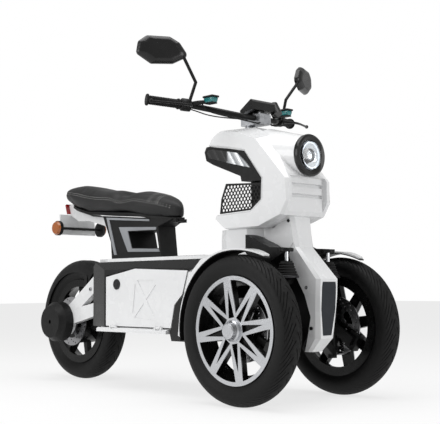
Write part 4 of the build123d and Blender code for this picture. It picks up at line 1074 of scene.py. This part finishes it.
def pod_dress():
    a, b = POD_START, POD_STOP
    mid = (a + b) / 2
    outline = [(a, 0.0113), (a, 0.0205), (a + 0.002, 0.0232), (mid - 0.0012, 0.0238), (mid - 0.0006, 0.0226),
               (mid + 0.0006, 0.0226), (mid + 0.0012, 0.0238), (b - 0.003, 0.0236), (b, 0.0205),
               (b, 0.0113), (a, 0.0113)]
    return turn(outline, tuple(BAR_BEND), tuple(GRIP_AXIS), 32)


def button(share, lean, size, tall):
    """Small rounded key on the pod, at a share of the run and an angle behind the top."""
    back = GRIP_AXIS.cross(Vector((0, 0, 1))).normalized()
    back = -back if back.x > 0 else back
    up = GRIP_AXIS.cross(back).normalized()
    up = -up if up.z < 0 else up
    out = (back * math.sin(lean) + up * math.cos(lean)).normalized()
    key = slab((-size / 2, -size / 2, -0.002), (size / 2, size / 2, tall), 0.0012, 2)
    turn_to = Matrix((GRIP_AXIS, out.cross(GRIP_AXIS), out)).transposed().to_4x4()
    move_mesh(key, Matrix.Translation(on_grip(share) + out * 0.0232) @ turn_to)
    return key


pod = settle_pair(pod_dress(), "switch_pod", "steering_bar", BLACK_PLASTIC, 30.0)
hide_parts("switchgear")
keys = join([button(0.105, math.radians(38), 0.0085, 0.0028), button(0.165, math.radians(52), 0.010, 0.0024),
             button(0.225, math.radians(38), 0.0085, 0.0028)])
settle_pair(keys, "switch_keys", "steering_bar", RUBBER)

# %% [markdown]
# ## Display
# The instrument is a shallow box tipped towards the rider, with a dark glass let into its face.
# The glass is a bevelled plate a little above the box, and a thin raised frame runs round it.

# %% Display glass and dial
BOX_BACK, BOX_TOP = Vector((0.428, 0.0, 1.068)), Vector((0.486, 0.0, 1.106))
screen_up = (BOX_TOP - BOX_BACK).normalized()
screen_out = Vector((-screen_up.z, 0.0, screen_up.x))
screen_turn = Matrix((Vector((0, -1, 0)), screen_up, screen_out)).transposed().to_4x4()
screen_centre = (BOX_BACK + BOX_TOP) / 2


def screen_finish():
    f = Finish("dark_screen", {"Coat Weight": 1.0, "Coat Roughness": 0.02})
    x, y, z = f.split(f.place())
    bars = ((y * 700.0).calc("SINE") * (x * 500.0 + z * 300.0).calc("SINE")).calc("GREATER_THAN", 0.93)
    f.feed("Base Color", f.blend(bars, (0.004, 0.006, 0.008, 1), (0.02, 0.05, 0.06, 1)))
    f.gloss(f.noise(40.0, 2.0), 0.3, 0.7, 0.06, 0.12)
    return f.material


screen = slab((-0.046, -0.024, -0.0005), (0.046, 0.024, 0.0012), 0.0009, 2)
move_mesh(screen, Matrix.Translation(screen_centre) @ screen_turn)
settle(screen, "display_glass", "steering_bar", screen_finish())
frame_strip = slab((-0.055, -0.031, -0.0005), (0.055, 0.031, 0.0018), 0.0012, 2)
inset(frame_strip, lambda f: f.normal.z > 0.95 and f.calc_area() > 0.001, (0.008, 0.0), (0.0004, -0.0016))
move_mesh(frame_strip, Matrix.Translation(screen_centre) @ screen_turn)
settle(frame_strip, "display_frame", "steering_bar", BLACK_PLASTIC)
DIAL_LOW, DIAL_TOP = Vector((0.494, 0.076, 1.060)), Vector((0.470, 0.076, 1.100))
dial_axis = (DIAL_TOP - DIAL_LOW).normalized()
dial = turn([(-0.001, 0.0), (-0.001, 0.0185), (0.001, 0.0195), (0.0022, 0.0185), (0.0014, 0.0165),
             (0.0010, 0.010), (0.0024, 0.0092), (0.0030, 0.007), (0.0030, 0.0)],
            tuple(DIAL_TOP), tuple(dial_axis), 40)
settle(dial, "key_switch_face", "steering_bar", DARK_STEEL, 25.0)

# %% [markdown]
# ## Steering clamp
# The bar is held by a silver clamp on the stem: two saddles with four screws. The solid block
# gives the size; caps with rounded shoulders and screws make it read as two halves.

# %% Clamp caps
CLAMP_TOP = 1.052
cap = slab((0.456, -0.029, CLAMP_TOP - 0.010), (0.500, 0.029, CLAMP_TOP + 0.0045), 0.004, 3)
settle(cap, "bar_clamp_cap", "steering_bar", SILVER_METAL)
stem_cap = turn([(CLAMP_TOP - 0.002, 0.0), (CLAMP_TOP - 0.002, 0.017), (CLAMP_TOP + 0.004, 0.016),
                 (CLAMP_TOP + 0.006, 0.013), (CLAMP_TOP + 0.006, 0.0)], (0.428, 0.0, 0.0), (0, 0, 1), 32)
settle(stem_cap, "stem_nut", "steering_bar", DARK_STEEL, 30.0)
cap_screws = [(x, y, CLAMP_TOP + 0.0045) for x in (0.463, 0.493) for y in (-0.020, 0.020)]
screws("bar_clamp_screws", "steering_bar", cap_screws, (0, 0, 1), 0.8)

# %% [markdown]
# ## Brake hoses and switch wires
# A hose runs from each brake's master cylinder to the clamp, in front of the bar, and a thinner
# wire runs from each switch pod behind the bar. Both are rubber covered, end on the clamp and turn
# with the bar. They are smooth curves through a few control points.

# %% Hoses and wires
HOSE_ROUTE = [(0.391, -0.221, 1.082), (0.396, -0.216, 1.066), (0.412, -0.205, 1.050), (0.440, -0.178, 1.038),
              (0.468, -0.135, 1.028), (0.490, -0.088, 1.020), (0.506, -0.052, 1.012), (0.508, -0.034, 1.014),
              (0.499, -0.024, 1.020)]
WIRE_ROUTE = [(0.347, -0.239, 1.063), (0.354, -0.212, 1.058), (0.372, -0.180, 1.046), (0.400, -0.146, 1.038),
              (0.428, -0.112, 1.034), (0.444, -0.080, 1.033), (0.450, -0.052, 1.034), (0.452, -0.026, 1.036)]
HOSE_LENGTH, HOSE_DIAMETER = 0.258, 0.0055
WIRE_LENGTH, WIRE_DIAMETER = 0.246, 0.0045


def run_cord(name, route, diameter):
    """Smooth round cord along a route, both ends on the steering bar's own pieces."""
    cord, spline = smooth_line(name, route, diameter / 2, 4)
    spline.resolution_u = 8
    cord.data.materials.append(RUBBER)
    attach(cord, "steering_bar")


for side, sign in SIDES:
    run_cord("brake_hose_" + side, on_side(sign, HOSE_ROUTE), HOSE_DIAMETER)
    run_cord("switch_wire_" + side, on_side(sign, WIRE_ROUTE), WIRE_DIAMETER)
print("hose and wire lengths:", HOSE_LENGTH, WIRE_LENGTH)

# %% [markdown]
# ## Footboard mat
# The deck carries a black rubber mat with raised ribs for wet shoes. It is one thin slab; the
# ribs are picked out as every second strip of a subdivided top and raised a little.

# %% Mat
DECK_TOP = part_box("deck")[1].z
MAT_X = (-0.020, 0.330)
MAT_Y = (0.058, 0.150)                  # nearest to and farthest from the middle
MAT_RIBS = 44


def ribbed_mat(low, high, count):
    """Thin mat with raised ribs that run from side to side."""
    length = (high[0] - low[0]) / count
    middle = ((low[0] + high[0]) / 2, (low[1] + high[1]) / 2, DECK_TOP + 0.0015)
    bpy.ops.mesh.primitive_grid_add(x_subdivisions=count, y_subdivisions=1, size=1.0, location=middle)
    mat = bpy.context.object
    mat.scale = (high[0] - low[0], high[1] - low[1], 1.0)
    take(mat)
    bpy.ops.object.transform_apply(location=True, rotation=True, scale=True)
    inset(mat, lambda f: int((f.calc_center_median().x - low[0]) / length) % 2 == 0, (0.0012, 0.0012))
    modify(mat, "SOLIDIFY", thickness=0.0016, offset=-1.0)
    return mat


for side, sign in SIDES:
    low_y, high_y = sorted(sign * y for y in MAT_Y)
    mat = ribbed_mat((MAT_X[0], low_y), (MAT_X[1], high_y), MAT_RIBS)
    settle(mat, "foot_mat_" + side, "chassis", RUBBER, 30.0)

# %% [markdown]
# ## Rear plate
# The carrier under the tail lamp holds a blank white plate with two screws. The plate is a thin
# slab with rounded corners and an inset border.

# %% Plate
PLATE_TOP, PLATE_FOOT_POINT = Vector((-0.706, 0, 0.740)), Vector((-0.696, 0, 0.648))
plate_up = (PLATE_TOP - PLATE_FOOT_POINT).normalized()
plate_out = Vector((-plate_up.z, 0, plate_up.x))
plate_turn = Matrix((Vector((0, -1, 0)), plate_up, plate_out)).transposed().to_4x4()
plate = slab((-0.088, -0.040, 0.0), (0.088, 0.040, 0.0012), 0.0)
edit(plate, "EDGE", lambda e: abs((e.verts[0].co - e.verts[1].co).normalized().z) > 0.9)
bpy.ops.mesh.bevel(offset=0.007, segments=5)
leave()
inset(plate, lambda f: f.normal.z > 0.9, (0.004, 0.0), (0.0006, -0.0004))
plate_centre = (PLATE_TOP + PLATE_FOOT_POINT) / 2
move_mesh(plate, Matrix.Translation(plate_centre) @ plate_turn)
settle(plate, "rear_plate", "chassis", WHITE_PAINT)
screw_middle = plate_centre + plate_up * 0.030 + plate_out * 0.001
plate_screws = [screw_middle + Vector((0, y, 0)) for y in (-0.060, 0.060)]
screws("rear_plate_screws", "chassis", plate_screws, tuple(plate_out), 0.7)
bpy.data.objects.remove(screw_blank)

# %% [markdown]
# ## Floor, light and background
# A pale floor, two large soft lamps and a soft overhead lamp show the white panels without
# burning them out. The camera and rays through glass see the world as white, while the light it gives is
# lower, so that the object keeps its shading and the floor keeps its shadow.

# %% Floor
bpy.ops.mesh.primitive_plane_add(size=40.0, location=(0, 0, 0))
floor = bpy.context.object
floor.name = "floor"
floor_finish = Finish("pale_floor", {"Roughness": 0.9, "Specular IOR Level": 0.0})
dust = floor_finish.between(floor_finish.noise(3.0, 3.0), 0.3, 0.7)
floor_finish.feed("Base Color", floor_finish.blend(dust, grey(0.86), grey(0.88)))
ways = [floor_finish.node("LightPath", out=i) for i in (0, 3, 6)]
seen = ways[0].calc("MAXIMUM", ways[1]).calc("MAXIMUM", ways[2])
white = floor_finish.node("Emission", None, {"Color": grey(1.0), "Strength": 1.0})
plain = Tap(floor_finish, floor_finish.shader.outputs[0])
mixed = floor_finish.node("MixShader", None, {0: seen * 0.72, 1: plain, 2: white})
floor_finish.tree.links.new(mixed.socket, floor_finish.tree.nodes["Material Output"].inputs["Surface"])
floor.data.materials.append(floor_finish.material)

# %% World
WORLD_LIGHT = 0.46
world = bpy.data.worlds.new("studio")
bpy.context.scene.world = world
world.use_nodes = True
sky = world.node_tree
light_path = sky.nodes.new("ShaderNodeLightPath")
either = sky.nodes.new("ShaderNodeMath")
either.operation = "MAXIMUM"
sky.links.new(light_path.outputs["Is Camera Ray"], either.inputs[0])
sky.links.new(light_path.outputs["Is Transmission Ray"], either.inputs[1])
level = sky.nodes.new("ShaderNodeMapRange")
level.inputs["To Min"].default_value = WORLD_LIGHT
level.inputs["To Max"].default_value = 1.0
sky.links.new(either.outputs[0], level.inputs["Value"])
sky.nodes["Background"].inputs["Color"].default_value = grey(1.0)
sky.links.new(level.outputs[0], sky.nodes["Background"].inputs["Strength"])


# %% Lamps
def soft_lamp(name, place, aim, size, power):
    data = bpy.data.lights.new(name, "AREA")
    data.shape = "RECTANGLE"
    data.size, data.size_y = size
    data.energy = power
    lamp = bpy.data.objects.new(name, data)
    bpy.context.scene.collection.objects.link(lamp)
    lamp.location = place
    lamp.rotation_euler = (Vector(aim) - Vector(place)).to_track_quat("-Z", "Y").to_euler()
    return lamp


soft_lamp("overhead", (0.4, -0.4, 3.2), (0, 0, 0.4), (3.2, 2.2), 60.0)
soft_lamp("left_of_camera", (-0.6, -3.2, 1.6), (0, 0, 0.6), (2.2, 1.8), 40.0)
soft_lamp("right_of_camera", (3.6, 0.8, 1.4), (0.2, 0, 0.6), (1.6, 1.8), 26.0)
